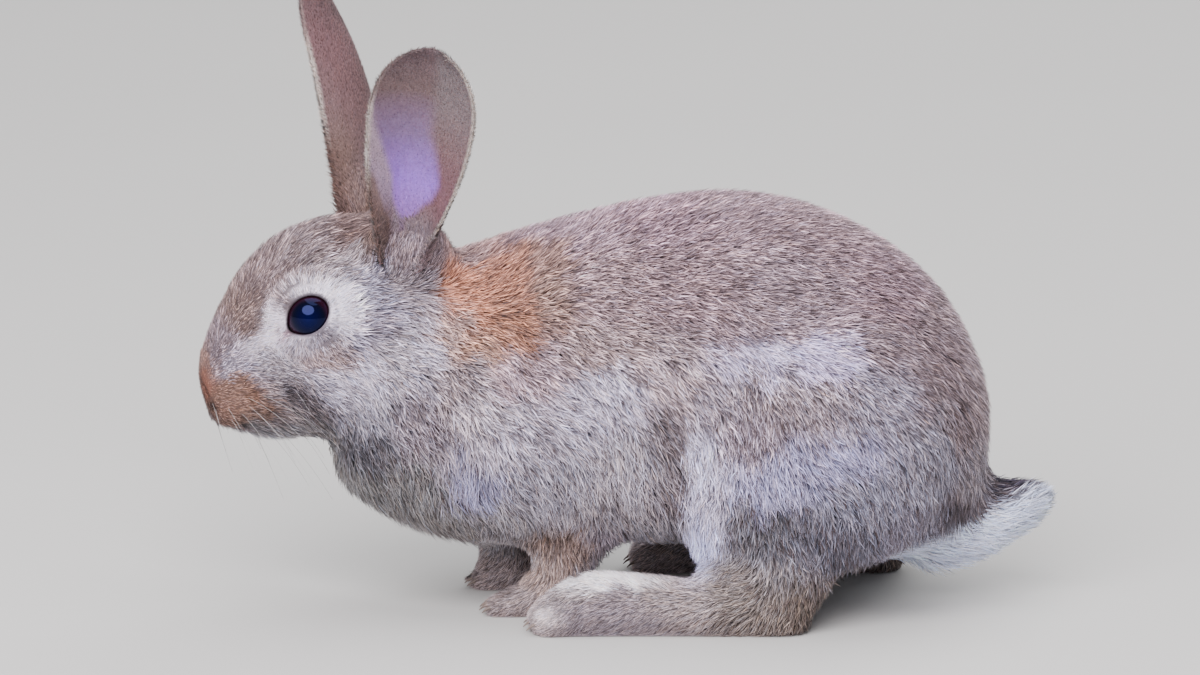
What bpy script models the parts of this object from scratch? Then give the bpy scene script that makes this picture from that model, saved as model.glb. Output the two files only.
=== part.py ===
"""A young wild rabbit crouching at rest: a still, life-size museum model, parted where a person names its parts.

The rabbit faces -X with its left side to -Y, and its soles are flat on the floor. Lengths in this file are in
millimetres and become metres where a mesh is made. The outline is that of the coat, out to the tips of the fur.
"""

import math
from typing import NamedTuple

import bmesh
import bpy
from mathutils import Matrix, Vector

MM = 0.001
LEFT, RIGHT = -1, 1
SIDE_NAMES = {LEFT: "left", RIGHT: "right"}

# Driving dimensions of the body.
PARTING_GAP = 0.35
BODY_GRAIN = 2.4
BODY_SMOOTHING = 9
BODY_KEPT_FACES = 0.10
RING_POINTS = 36
RINGS_BETWEEN_STATIONS = 5
MASS_SEGMENTS = 24
MASS_RINGS = 14

# Eyes.
EYE_RADIUS = 8.0
EYE_SEGMENTS = 18
EYE_RINGS = 10
EYE_CENTRE = Vector((-84.0, 15.2, 93.6))
SOCKET_CLEARANCE = 0.35

# Ears.
EAR_LENGTH = 85.0
EAR_HALF_BREADTH = 18.5
EAR_THICKNESS = 2.4
EAR_WIDEST = 0.56
EAR_ROOT_BREADTH = 0.80
EAR_TIP_FULLNESS = 3.1
EAR_ROLLED = math.radians(158.0)
EAR_DISHED = math.radians(34.0)
EAR_BOW = 3.0
EAR_ROWS = 13
EAR_COLUMNS = 8
EAR_ROOT = {LEFT: Vector((-56.5, 11.0, 105.0)), RIGHT: Vector((-63.5, 11.0, 105.0))}


class EarPose(NamedTuple):
    """Degrees that an ear leans out from the midline and back from the upright, how far its tip sweeps
    forwards, and the degrees that its opening turns forwards from straight out to the side."""

    lean_out: float
    lean_back: float
    sweep: float
    opening: float


EAR_POSE = {
    LEFT: EarPose(lean_out=27.0, lean_back=6.5, sweep=0.0, opening=10.0),
    RIGHT: EarPose(lean_out=22.0, lean_back=-4.0, sweep=16.0, opening=66.0),
}

# Legs. The right hind foot stands further back, and the right forefoot a little further forward.
HIND_FOOT_SHIFT = {LEFT: 0.0, RIGHT: 30.0}
HIND_FOOT_OUT = 38.0
HAUNCH_FOLLOWS = 0.1
FOREFOOT_SHIFT = {LEFT: 0.0, RIGHT: -5.0}
FOREFOOT_OUT = 16.0
FORELEG_REACH = {LEFT: (-24.5, 12.0), RIGHT: (-38.5, -6.5)}
FLOOR = 2.0
SOLE_LEVEL = 0.5
TOES = 4
HIND_TOE_SPREAD = 4.2
FORE_TOE_SPREAD = 3.3


class Station(NamedTuple):
    """One cross-section of a lofted form: its upper and lower point in side view, and its half width."""

    top: tuple
    bottom: tuple
    half_width: float
    sag: float = 0.0


HEAD = [
    Station(top=(-119.0, 72.0), bottom=(-117.0, 64.5), half_width=3.0),
    Station(top=(-118.4, 77.0), bottom=(-111.5, 58.0), half_width=8.6),
    Station(top=(-116.4, 84.0), bottom=(-103.0, 52.8), half_width=11.6),
    Station(top=(-111.6, 95.0), bottom=(-94.0, 51.6), half_width=14.2),
    Station(top=(-104.0, 107.5), bottom=(-85.0, 52.4), half_width=17.6),
    Station(top=(-93.0, 116.5), bottom=(-76.0, 54.0), half_width=20.6, sag=0.10),
    Station(top=(-79.0, 121.5), bottom=(-66.0, 55.0), half_width=22.0, sag=0.15),
    Station(top=(-64.0, 120.0), bottom=(-54.0, 57.0), half_width=22.5, sag=0.15),
    Station(top=(-50.0, 113.0), bottom=(-42.0, 62.0), half_width=20.0),
    Station(top=(-42.0, 104.0), bottom=(-38.0, 74.0), half_width=9.0),
]

TRUNK = [
    Station(top=(-66.0, 98.0), bottom=(-77.0, 56.0), half_width=10.0),
    Station(top=(-58.0, 107.0), bottom=(-78.5, 45.0), half_width=22.0),
    Station(top=(-44.0, 110.0), bottom=(-69.0, 33.0), half_width=30.0, sag=0.15),
    Station(top=(-28.0, 115.0), bottom=(-48.0, 23.5), half_width=36.0, sag=0.20),
    Station(top=(-8.0, 120.8), bottom=(-22.0, 20.5), half_width=39.0, sag=0.22),
    Station(top=(15.0, 126.2), bottom=(10.0, 21.5), half_width=41.0, sag=0.22),
    Station(top=(40.0, 128.8), bottom=(40.0, 20.5), half_width=43.5, sag=0.20),
    Station(top=(64.0, 125.0), bottom=(66.0, 17.0), half_width=44.5, sag=0.20),
    Station(top=(87.0, 114.0), bottom=(88.0, 16.0), half_width=41.0, sag=0.15),
    Station(top=(104.0, 99.0), bottom=(103.0, 20.0), half_width=33.0, sag=0.10),
    Station(top=(115.5, 79.0), bottom=(114.0, 31.0), half_width=21.0),
    Station(top=(119.5, 62.0), bottom=(119.0, 48.0), half_width=6.0),
]

HIND_FOOT = [
    Station(top=(-18.5, 9.0), bottom=(-18.5, 3.0), half_width=4.0),
    Station(top=(-16.5, 13.0), bottom=(-16.5, SOLE_LEVEL), half_width=8.0),
    Station(top=(-8.5, 18.5), bottom=(-9.5, SOLE_LEVEL), half_width=9.8),
    Station(top=(2.0, 21.5), bottom=(2.0, SOLE_LEVEL), half_width=9.8),
    Station(top=(22.0, 19.5), bottom=(22.0, SOLE_LEVEL), half_width=9.0),
    Station(top=(44.0, 19.0), bottom=(44.0, SOLE_LEVEL), half_width=9.0),
    Station(top=(59.0, 19.0), bottom=(60.0, SOLE_LEVEL), half_width=8.8),
    Station(top=(65.5, 13.0), bottom=(65.5, 2.0), half_width=4.5),
]

FOREFOOT = [
    Station(top=(-32.5, 5.5), bottom=(-32.5, 2.6), half_width=3.4),
    Station(top=(-30.5, 8.2), bottom=(-30.5, SOLE_LEVEL), half_width=6.0),
    Station(top=(-24.0, 11.4), bottom=(-24.0, SOLE_LEVEL), half_width=7.4),
    Station(top=(-17.0, 15.5), bottom=(-16.0, SOLE_LEVEL), half_width=7.8),
    Station(top=(-8.0, 16.0), bottom=(-7.0, SOLE_LEVEL), half_width=7.4),
    Station(top=(-3.0, 12.0), bottom=(-3.0, 2.0), half_width=4.0),
]

# A foreleg runs downwards: its top points are the front of the leg and its bottom points the back.
FORELEG = {
    LEFT: [
        Station(top=(-22.0, 58.0), bottom=(22.0, 54.0), half_width=12.0),
        Station(top=(-21.0, 42.0), bottom=(17.0, 38.0), half_width=11.0),
        Station(top=(-20.0, 29.0), bottom=(8.5, 26.0), half_width=9.6),
        Station(top=(-19.0, 19.0), bottom=(2.5, 17.0), half_width=8.0),
        Station(top=(-18.5, 11.0), bottom=(-3.5, 9.0), half_width=7.2),
        Station(top=(-16.0, 7.0), bottom=(-6.5, 6.0), half_width=5.0),
    ],
    RIGHT: [
        Station(top=(-30.0, 58.0), bottom=(12.0, 54.0), half_width=12.0),
        Station(top=(-32.0, 42.0), bottom=(2.0, 38.0), half_width=11.0),
        Station(top=(-34.0, 29.0), bottom=(-11.0, 27.0), half_width=9.2),
        Station(top=(-35.5, 19.0), bottom=(-19.0, 18.0), half_width=7.6),
        Station(top=(-34.0, 11.0), bottom=(-20.0, 9.0), half_width=7.0),
        Station(top=(-30.0, 7.0), bottom=(-20.0, 6.0), half_width=5.0),
    ],
}

TAIL = [
    Station(top=(90.0, 31.0), bottom=(93.0, 13.0), half_width=6.0),
    Station(top=(97.0, 35.0), bottom=(101.0, 9.5), half_width=9.0),
    Station(top=(109.0, 38.5), bottom=(113.5, 12.5), half_width=10.5),
    Station(top=(121.5, 40.5), bottom=(126.0, 19.5), half_width=10.0),
    Station(top=(131.5, 40.2), bottom=(134.5, 25.5), half_width=7.5),
    Station(top=(137.8, 37.5), bottom=(138.6, 31.5), half_width=3.0),
]


# ---------------------------------------------------------------- scene helpers


def clear_scene():
    for obj in list(bpy.data.objects):
        bpy.data.objects.remove(obj)


def new_collection(name):
    collection = bpy.data.collections.new(name)
    bpy.context.scene.collection.children.link(collection)
    return collection


def new_material(name, colour, roughness):
    material = bpy.data.materials.new(name)
    material.use_nodes = True
    shader = material.node_tree.nodes["Principled BSDF"]
    shader.inputs["Base Color"].default_value = (*colour, 1.0)
    shader.inputs["Roughness"].default_value = roughness
    shader.inputs["Metallic"].default_value = 0.0
    material.diffuse_color = (*colour, 1.0)
    return material


def new_object(name, bm, collection):
    """An object whose mesh is what the bmesh holds, in millimetres, brought to metres."""
    bmesh.ops.recalc_face_normals(bm, faces=bm.faces)
    bmesh.ops.scale(bm, vec=(MM, MM, MM), verts=bm.verts)
    mesh = bpy.data.meshes.new(name)
    bm.to_mesh(mesh)
    bm.free()
    mesh.shade_smooth()
    obj = bpy.data.objects.new(name, mesh)
    collection.objects.link(obj)
    return obj


def as_helper(obj):
    obj.hide_render = True
    obj.display_type = "WIRE"
    return obj


def baked_mesh(obj, name):
    """The object's mesh with its modifiers applied."""
    graph = bpy.context.evaluated_depsgraph_get()
    mesh = bpy.data.meshes.new_from_object(obj.evaluated_get(graph))
    mesh.name = name
    return mesh


# ---------------------------------------------------------------- forms


def between(a, b, c, d, t):
    """Catmull-Rom value at t between b and c, with a before b and d after c."""
    return 0.5 * (
        2 * b + (c - a) * t + (2 * a - 5 * b + 4 * c - d) * t**2 + (3 * b - a - 3 * c + d) * t**3
    )


def smooth_run(stations):
    """The stations' numbers as rows, with RINGS_BETWEEN_STATIONS rows from each to the next."""
    rows = [Vector((*s.top, *s.bottom, s.half_width, s.sag)) for s in stations]
    ends = [rows[0], *rows, rows[-1]]
    run = []
    for i in range(len(rows) - 1):
        for step in range(RINGS_BETWEEN_STATIONS):
            run.append(between(*ends[i : i + 4], step / RINGS_BETWEEN_STATIONS))
    return [*run, rows[-1]]


def ring(row, out):
    """One closed cross-section, an oval from its top point round to its bottom point and back."""
    top, bottom = Vector((row[0], 0, row[1])), Vector((row[2], 0, row[3]))
    middle, upward = (top + bottom) / 2, (top - bottom) / 2
    half_width, sag = max(row[4], 0.5), row[5]
    points = []
    for i in range(RING_POINTS):
        angle = math.tau * i / RING_POINTS
        rise = math.cos(angle) - sag * math.sin(angle) ** 2
        points.append(middle + upward * rise + Vector((0, out + half_width * math.sin(angle), 0)))
    return points


def loft(bm, stations, out=0.0, shift=0.0):
    """A closed form through the stations. Out moves it to the side and shift along the body."""
    rings = []
    for row in smooth_run(stations):
        points = [p + Vector((shift, 0, 0)) for p in ring(row, out)]
        rings.append([bm.verts.new(p) for p in points])
    for first, second in zip(rings, rings[1:]):
        for i in range(RING_POINTS):
            j = (i + 1) % RING_POINTS
            bm.faces.new((first[i], first[j], second[j], second[i]))
    bm.faces.new(rings[0])
    bm.faces.new(rings[-1])


def ellipsoid(bm, centre, radii, pitch=0.0):
    """An oval mass. Pitch turns it about the Y axis in degrees, and below zero its front goes down."""
    turn = Matrix.Rotation(math.radians(pitch), 4, "Y")
    place = Matrix.Translation(centre) @ turn @ Matrix.Diagonal((*radii, 1.0))
    bmesh.ops.create_uvsphere(
        bm, u_segments=MASS_SEGMENTS, v_segments=MASS_RINGS, radius=1.0, matrix=place
    )


def mirrored(point, side):
    return Vector((point[0], point[1] * side, point[2]))


# ---------------------------------------------------------------- the body as one form


def add_head_masses(bm):
    """Cheeks, lips, brows and the mounds that the ears rise from."""
    for side in (LEFT, RIGHT):
        ellipsoid(bm, mirrored((-74.0, 9.0, 76.0), side), (21.0, 14.5, 18.0), pitch=-28.0)
        ellipsoid(bm, mirrored((-107.5, 6.3, 64.5), side), (9.4, 7.0, 9.2), pitch=-20.0)
        ellipsoid(bm, mirrored((-84.0, 11.5, 105.0), side), (13.0, 7.5, 7.5), pitch=-38.0)
        root = EAR_ROOT[side]
        ellipsoid(bm, mirrored((root.x + 2.0, 12.5, 109.5), side), (14.5, 11.5, 13.0), pitch=-10.0)


def add_haunch(bm, side):
    """Thigh, knee and hock of one hind leg, folded against the flank."""
    back = HIND_FOOT_SHIFT[side] * HAUNCH_FOLLOWS
    ellipsoid(bm, mirrored((69.0 + back, 31.0, 60.0), side), (37.5, 19.0, 42.0), pitch=-14.0)
    ellipsoid(bm, mirrored((44.0 + back, 34.5, 40.0), side), (18.0, 14.5, 22.0), pitch=15.0)
    ellipsoid(bm, mirrored((58.0 + HIND_FOOT_SHIFT[side], HIND_FOOT_OUT, 20.0), side), (15.0, 9.8, 13.0))


def add_foreleg(bm, side):
    """Shoulder, elbow and forearm of one foreleg."""
    ellipsoid(bm, mirrored((-20.0, 24.0, 58.0), side), (24.0, 13.0, 29.0), pitch=20.0)
    loft(bm, FORELEG[side], out=FOREFOOT_OUT * side)


def add_feet(bm, side):
    """The hind foot and the forefoot of one side, each with its four toes."""
    loft(bm, HIND_FOOT, out=HIND_FOOT_OUT * side, shift=HIND_FOOT_SHIFT[side])
    loft(bm, FOREFOOT, out=FOREFOOT_OUT * side, shift=FOREFOOT_SHIFT[side])
    for toe in range(TOES):
        place = toe - (TOES - 1) / 2
        ahead = math.cos(place * 0.8)
        hind = Vector((-11.5 - 2.0 * ahead, HIND_FOOT_OUT * side + place * HIND_TOE_SPREAD, 7.0))
        hind.x += HIND_FOOT_SHIFT[side]
        ellipsoid(bm, hind, (7.0, 2.7, 6.0), pitch=-18.0)
        fore = Vector((-27.0 - 1.6 * ahead, FOREFOOT_OUT * side + place * FORE_TOE_SPREAD, 5.0))
        fore.x += FOREFOOT_SHIFT[side]
        ellipsoid(bm, fore, (5.6, 2.1, 4.2), pitch=-20.0)


def fused_body(collection):
    """Every fleshy form but the ears, run together into one smooth closed surface."""
    bm = bmesh.new()
    loft(bm, HEAD)
    loft(bm, TRUNK)
    loft(bm, TAIL)
    add_head_masses(bm)
    for side in (LEFT, RIGHT):
        add_haunch(bm, side)
        add_foreleg(bm, side)
        add_feet(bm, side)
    forms = as_helper(new_object("body_forms", bm, collection))
    remesh = forms.modifiers.new("one_surface", "REMESH")
    remesh.mode = "VOXEL"
    remesh.voxel_size = BODY_GRAIN * MM
    smooth = forms.modifiers.new("soft_joins", "SMOOTH")
    smooth.factor = 0.5
    smooth.iterations = BODY_SMOOTHING
    decimate = forms.modifiers.new("few_faces", "DECIMATE")
    decimate.ratio = BODY_KEPT_FACES
    body = bpy.data.objects.new("body", baked_mesh(forms, "body"))
    collection.objects.link(body)
    return as_helper(body)


# ---------------------------------------------------------------- parting cuts


def box(name, low, high, collection, turn=0.0, pivot=(0.0, 0.0, 0.0)):
    """A box from its low to its high corner, tipped about the Y axis through the pivot, in degrees."""
    bm = bmesh.new()
    low, high = Vector(low), Vector(high)
    bmesh.ops.create_cube(bm, size=1.0)
    size = high - low
    bmesh.ops.scale(bm, vec=size, verts=bm.verts)
    bmesh.ops.translate(bm, vec=(low + high) / 2, verts=bm.verts)
    bmesh.ops.rotate(
        bm, cent=pivot, matrix=Matrix.Rotation(math.radians(turn), 3, "Y"), verts=bm.verts
    )
    return as_helper(new_object(name, bm, collection))


def oval(name, centre, radii, pitch, collection):
    """An oval cutter."""
    bm = bmesh.new()
    ellipsoid(bm, Vector(centre), radii, pitch=pitch)
    return as_helper(new_object(name, bm, collection))


class Parting(NamedTuple):
    """The space that one part takes of the body, and the same space grown by the parting gap."""

    inside: object
    grown: object


def parting(name, make):
    """Builds a cutter twice, with its own size and grown by the gap."""
    return Parting(make(name + "_cut", 0.0), make(name + "_cut_grown", PARTING_GAP))


def boolean(obj, cutter, operation):
    modifier = obj.modifiers.new(cutter.name, "BOOLEAN")
    modifier.operation = operation
    modifier.object = cutter
    modifier.solver = "EXACT"


def carve(name, body, inside, outside, material, collection):
    """The share of the body that lies inside some cutters and outside others, as a part of its own."""
    part = bpy.data.objects.new(name, body.data.copy())
    collection.objects.link(part)
    for cutter in inside:
        boolean(part, cutter, "INTERSECT")
    for cutter in outside:
        boolean(part, cutter, "DIFFERENCE")
    part.data.materials.clear()
    part.data.materials.append(material)
    return part


FAR = 400.0
HEAD_PLANE = {"x": -46.0, "turn": 27.0, "pivot": (-46.0, 0.0, 108.0)}
NECK_PLANE = {"x": -26.0, "turn": 35.0, "pivot": (-26.0, 0.0, 114.0)}


def front_of(plane, collection):
    """A maker of the half of space ahead of a plane across the neck."""

    def make(name, grow):
        return box(
            name,
            (plane["x"] - FAR, -FAR, plane["pivot"][2] - FAR),
            (plane["x"] + grow, FAR, plane["pivot"][2] + FAR),
            collection,
            plane["turn"],
            plane["pivot"],
        )

    return make


def make_partings(collection):
    """The cutters that part the body, each by the name of the part it takes."""
    cuts = {
        "head": parting("head", front_of(HEAD_PLANE, collection)),
        "neck": parting("neck", front_of(NECK_PLANE, collection)),
    }

    def tail(name, grow):
        return box(
            name, (102.0 - grow, -22.0 - grow, -40.0), (190.0, 22.0 + grow, 90.0), collection, 38.0,
            (102.0, 0.0, 26.0),
        )

    cuts["tail"] = parting("tail", tail)
    for side in (LEFT, RIGHT):
        word = SIDE_NAMES[side]
        back = HIND_FOOT_SHIFT[side]

        def haunch(name, grow, side=side, back=back):
            centre = mirrored((70.0 + back * HAUNCH_FOLLOWS, 56.0, 51.0), side)
            radii = (47.0 + grow, 37.0 + grow, 49.0 + grow)
            return oval(name, centre, radii, -18.0, collection)

        def hind_foot(name, grow, side=side, back=back):
            near, far = sorted((side * (HIND_FOOT_OUT - 12.0 - grow), side * (HIND_FOOT_OUT + 25.0)))
            return box(
                name, (-30.0 + back, near, -60.0), (74.0 + back, far, 17.0 + grow), collection, 6.0,
                (60.0 + back, 0.0, 17.0),
            )

        def foreleg(name, grow, side=side):
            front, back = FORELEG_REACH[side]
            near, far = sorted((side * (2.0 - grow), side * (FOREFOOT_OUT + 10.4 + grow)))
            return box(name, (front - grow, near, -20.0), (back + grow, far, 28.0 + grow), collection)

        def forefoot(name, grow, side=side):
            shift = FOREFOOT_SHIFT[side]
            near, far = sorted((side * (1.5 - grow), side * (FOREFOOT_OUT + 10.8 + grow)))
            return box(
                name, (-60.0 + shift, near, -20.0), (20.0 + shift, far, 12.5 + grow), collection, 12.0,
                (-10.0 + shift, 0.0, 12.5),
            )

        cuts["haunch_" + word] = parting("haunch_" + word, haunch)
        cuts["hind_foot_" + word] = parting("hind_foot_" + word, hind_foot)
        cuts["foreleg_" + word] = parting("foreleg_" + word, foreleg)
        cuts["forefoot_" + word] = parting("forefoot_" + word, forefoot)
    return cuts


# ---------------------------------------------------------------- eyes and ears


def eyeball(name, side, radius, collection):
    """A ball at the eye's place, with its poles to the sides."""
    bm = bmesh.new()
    pole = Matrix.Rotation(math.radians(90), 4, "X")
    place = Matrix.Translation(mirrored(EYE_CENTRE, side)) @ pole
    bmesh.ops.create_uvsphere(
        bm, u_segments=EYE_SEGMENTS, v_segments=EYE_RINGS, radius=radius, matrix=place
    )
    return new_object(name, bm, collection)


def ear_breadth(t):
    """Half the ear's flattened breadth at t along it, from 0 at the root to 1 at the tip."""
    if t < EAR_WIDEST:
        rise = t / EAR_WIDEST
        share = EAR_ROOT_BREADTH + (1 - EAR_ROOT_BREADTH) * rise * rise * (3 - 2 * rise)
        return EAR_HALF_BREADTH * share
    fall = (t - EAR_WIDEST) / (1 - EAR_WIDEST)
    return EAR_HALF_BREADTH * math.sqrt(max(1 - fall**EAR_TIP_FULLNESS, 0.0))


def ear_curl(t):
    """Half the angle that the ear's cross-section wraps round, in radians: a tube below and a shallow dish above."""
    return EAR_DISHED + (EAR_ROLLED - EAR_DISHED) * (1 - t) ** 1.75


def ear(side, pose, material, collection):
    """One ear as a curved sheet with thickness, rolled into a tube at its root and spread out above."""
    out, back = math.radians(pose.lean_out), math.radians(pose.lean_back)
    axis = Vector((math.sin(back), math.sin(out) * math.cos(back) * side, math.cos(out) * math.cos(back)))
    turn = math.radians(pose.opening)
    facing = Vector((-math.sin(turn), math.cos(turn) * side, 0.0))
    facing = (facing - axis * facing.dot(axis)).normalized()
    across = axis.cross(facing) * side
    root = mirrored(EAR_ROOT[side], side)
    bm = bmesh.new()
    rows = []
    for i in range(EAR_ROWS + 1):
        t = 1 - (1 - i / EAR_ROWS) ** 1.5
        curl = ear_curl(t)
        radius = max(ear_breadth(t), 0.9) / curl
        bow = EAR_BOW * math.sin(math.pi * t)
        ahead = Vector((-pose.sweep * t * t, 0.0, 0.0))
        spine = root + axis * (EAR_LENGTH * t) - facing * (bow + 2.0 * t) + ahead
        row = []
        for j in range(EAR_COLUMNS + 1):
            angle = curl * (2 * j / EAR_COLUMNS - 1)
            offset = facing * (radius * (1 - math.cos(angle))) + across * (radius * math.sin(angle))
            row.append(bm.verts.new(spine + offset))
        rows.append(row)
    for low, high in zip(rows, rows[1:]):
        for j in range(EAR_COLUMNS):
            bm.faces.new((low[j], low[j + 1], high[j + 1], high[j]))
    bmesh.ops.recalc_face_normals(bm, faces=bm.faces)
    obj = new_object("ear_" + SIDE_NAMES[side], bm, collection)
    solidify = obj.modifiers.new("thickness", "SOLIDIFY")
    solidify.thickness = EAR_THICKNESS * MM
    solidify.offset = 0.0
    solidify.use_even_offset = True
    obj.data.materials.append(material)
    return obj


# ---------------------------------------------------------------- assembly


def stand_at_origin(parts):
    """Moves everything so that the origin is under the middle of the parts, on the floor."""
    bpy.context.view_layer.update()
    graph = bpy.context.evaluated_depsgraph_get()
    corners = []
    for obj in parts:
        evaluated = obj.evaluated_get(graph)
        corners.extend(v.co.copy() for v in evaluated.data.vertices)
    low = [min(c[axis] for c in corners) for axis in range(3)]
    high = [max(c[axis] for c in corners) for axis in range(3)]
    under = Vector(((low[0] + high[0]) / 2, (low[1] + high[1]) / 2, low[2]))
    for obj in bpy.data.objects:
        obj.location = -under


def build():
    clear_scene()
    rabbit = new_collection("rabbit")
    cutters = new_collection("cutters")
    agouti = new_material("agouti_fur", (0.29, 0.23, 0.18), 0.95)
    grey = new_material("grey_fur", (0.34, 0.31, 0.29), 0.95)
    buff = new_material("buff_fur", (0.55, 0.46, 0.38), 0.95)
    white = new_material("white_fur", (0.72, 0.70, 0.72), 0.95)
    ear_skin = new_material("ear_skin", (0.40, 0.30, 0.28), 0.85)
    cornea = new_material("cornea", (0.012, 0.009, 0.010), 0.05)

    body = fused_body(cutters)
    cuts = make_partings(cutters)
    floor = box("floor_cut", (-FAR, -FAR, -60.0), (FAR, FAR, FLOOR), cutters)
    sockets = [
        as_helper(eyeball("socket_" + word, side, EYE_RADIUS + SOCKET_CLEARANCE, cutters))
        for side, word in SIDE_NAMES.items()
    ]
    parts = {}

    def part(name, material, inside, outside):
        parts[name] = carve(name, body, inside, outside, material, rabbit)

    part("head", agouti, [cuts["head"].inside], sockets)
    part("neck", agouti, [cuts["neck"].inside], [cuts["head"].grown])
    limbs = [
        cuts[kind + SIDE_NAMES[side]].grown
        for side in (LEFT, RIGHT)
        for kind in ("haunch_", "hind_foot_", "foreleg_", "forefoot_")
    ]
    part("trunk", agouti, [], [cuts["neck"].grown, cuts["tail"].grown, *limbs])
    part("tail", white, [cuts["tail"].inside], [])
    for side in (LEFT, RIGHT):
        word = SIDE_NAMES[side]
        foot = cuts["hind_foot_" + word]
        paw = cuts["forefoot_" + word]
        part("haunch_" + word, grey, [cuts["haunch_" + word].inside], [foot.grown, cuts["tail"].grown])
        part("hind_foot_" + word, buff, [foot.inside], [floor])
        part("foreleg_" + word, buff, [cuts["foreleg_" + word].inside], [paw.grown])
        part("forefoot_" + word, buff, [paw.inside], [floor])
        parts["eye_" + word] = eyeball("eye_" + word, side, EYE_RADIUS, rabbit)
        parts["eye_" + word].data.materials.append(cornea)
    grown_body = as_helper(bpy.data.objects.new("body_grown", body.data.copy()))
    cutters.objects.link(grown_body)
    displace = grown_body.modifiers.new("clearance", "DISPLACE")
    displace.strength = PARTING_GAP * MM
    displace.mid_level = 0.0
    for side, word in SIDE_NAMES.items():
        parts["ear_" + word] = ear(side, EAR_POSE[side], ear_skin, rabbit)
        boolean(parts["ear_" + word], grown_body, "DIFFERENCE")
    stand_at_origin(parts.values())
    return parts


build()
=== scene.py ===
"""Looks of a young wild rabbit: its skin, coat, eyes, whiskers and claws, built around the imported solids.

Places listed here are in body millimetres: the rabbit faces -X with its left side to -Y, and the floor
is a little above z = 0. A place given for one side stands for both. Meshes are in metres, in the frame of
the solids.
"""

import math
from typing import NamedTuple

import bmesh
import bpy
import numpy as np
from bpy.props import FloatProperty, FloatVectorProperty, IntProperty, PointerProperty
from mathutils import Matrix, Vector
from mathutils.bvhtree import BVHTree


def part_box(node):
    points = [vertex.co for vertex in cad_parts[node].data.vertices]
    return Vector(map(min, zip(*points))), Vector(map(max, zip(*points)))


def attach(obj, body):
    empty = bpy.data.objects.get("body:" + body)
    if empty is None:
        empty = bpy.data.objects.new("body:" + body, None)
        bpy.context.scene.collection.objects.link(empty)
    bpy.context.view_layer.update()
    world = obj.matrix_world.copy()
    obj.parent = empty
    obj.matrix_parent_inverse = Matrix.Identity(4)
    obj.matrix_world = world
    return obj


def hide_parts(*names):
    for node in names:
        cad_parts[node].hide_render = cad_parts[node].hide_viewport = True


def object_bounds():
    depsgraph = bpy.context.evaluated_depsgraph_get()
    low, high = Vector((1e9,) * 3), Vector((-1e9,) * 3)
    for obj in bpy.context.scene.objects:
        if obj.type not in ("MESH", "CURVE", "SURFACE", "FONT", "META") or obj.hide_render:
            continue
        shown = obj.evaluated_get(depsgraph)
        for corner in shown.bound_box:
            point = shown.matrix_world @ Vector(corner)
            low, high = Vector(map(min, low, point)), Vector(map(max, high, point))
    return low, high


bl_info = {
    "name": "Young Wild Rabbit",
    "version": (1, 0, 0),
    "blender": (4, 5, 0),
    "location": "3D View > Sidebar > Rabbit",
    "description": "Skin, coat, eyes, whiskers and claws of a life-size rabbit, around its packed solids",
    "category": "Object",
}

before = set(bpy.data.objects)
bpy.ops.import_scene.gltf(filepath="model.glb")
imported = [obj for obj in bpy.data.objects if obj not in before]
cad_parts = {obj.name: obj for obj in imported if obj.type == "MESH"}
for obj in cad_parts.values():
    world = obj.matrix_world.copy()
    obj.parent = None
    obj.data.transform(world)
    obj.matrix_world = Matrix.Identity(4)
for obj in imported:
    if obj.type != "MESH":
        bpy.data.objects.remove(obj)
CAD_BOX = [list(corner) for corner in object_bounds()]

MM = 0.001
LEFT, RIGHT = -1.0, 1.0
SIDES = {"left": LEFT, "right": RIGHT}

FLESH_NODES = ["head", "neck", "trunk", "tail"] + [
    part + "_" + side for part in ("haunch", "foreleg", "forefoot", "hind_foot") for side in SIDES
]
EAR_NODES = ["ear_left", "ear_right"]

# The eye's centre in body millimetres ties them to the frame.
EYE_CENTRE = np.array((-84.0, 15.2, 93.6))
EYE_RADIUS = 8.0
EYE_OPENING_FACES = np.array((-0.10, 0.965, 0.21))
EYE_GAZE = np.array((-0.06, 0.99, 0.09))
eye_low, eye_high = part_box("eye_right")
ORIGIN = EYE_CENTRE * MM - np.array((eye_low + eye_high) / 2)

# How much further back each part of the right side stands than its fellow on the left.
STAGGER = {"hind_foot_right": 30.0, "haunch_right": 3.0, "foreleg_right": -12.0, "forefoot_right": -5.0}


def to_body(points):
    """Body millimetres of points given in metres."""
    return (np.asarray(points) + ORIGIN) / MM


def to_frame(points):
    """Metres of points given in body millimetres."""
    return np.asarray(points) * MM - ORIGIN


# ---- the lie of the coat


class Lie(NamedTuple):
    """At a place on the body: which way the coat lies, how long and deep it is there, and how loose."""

    place: tuple
    towards: tuple
    length: float
    depth: float
    loose: float


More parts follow.
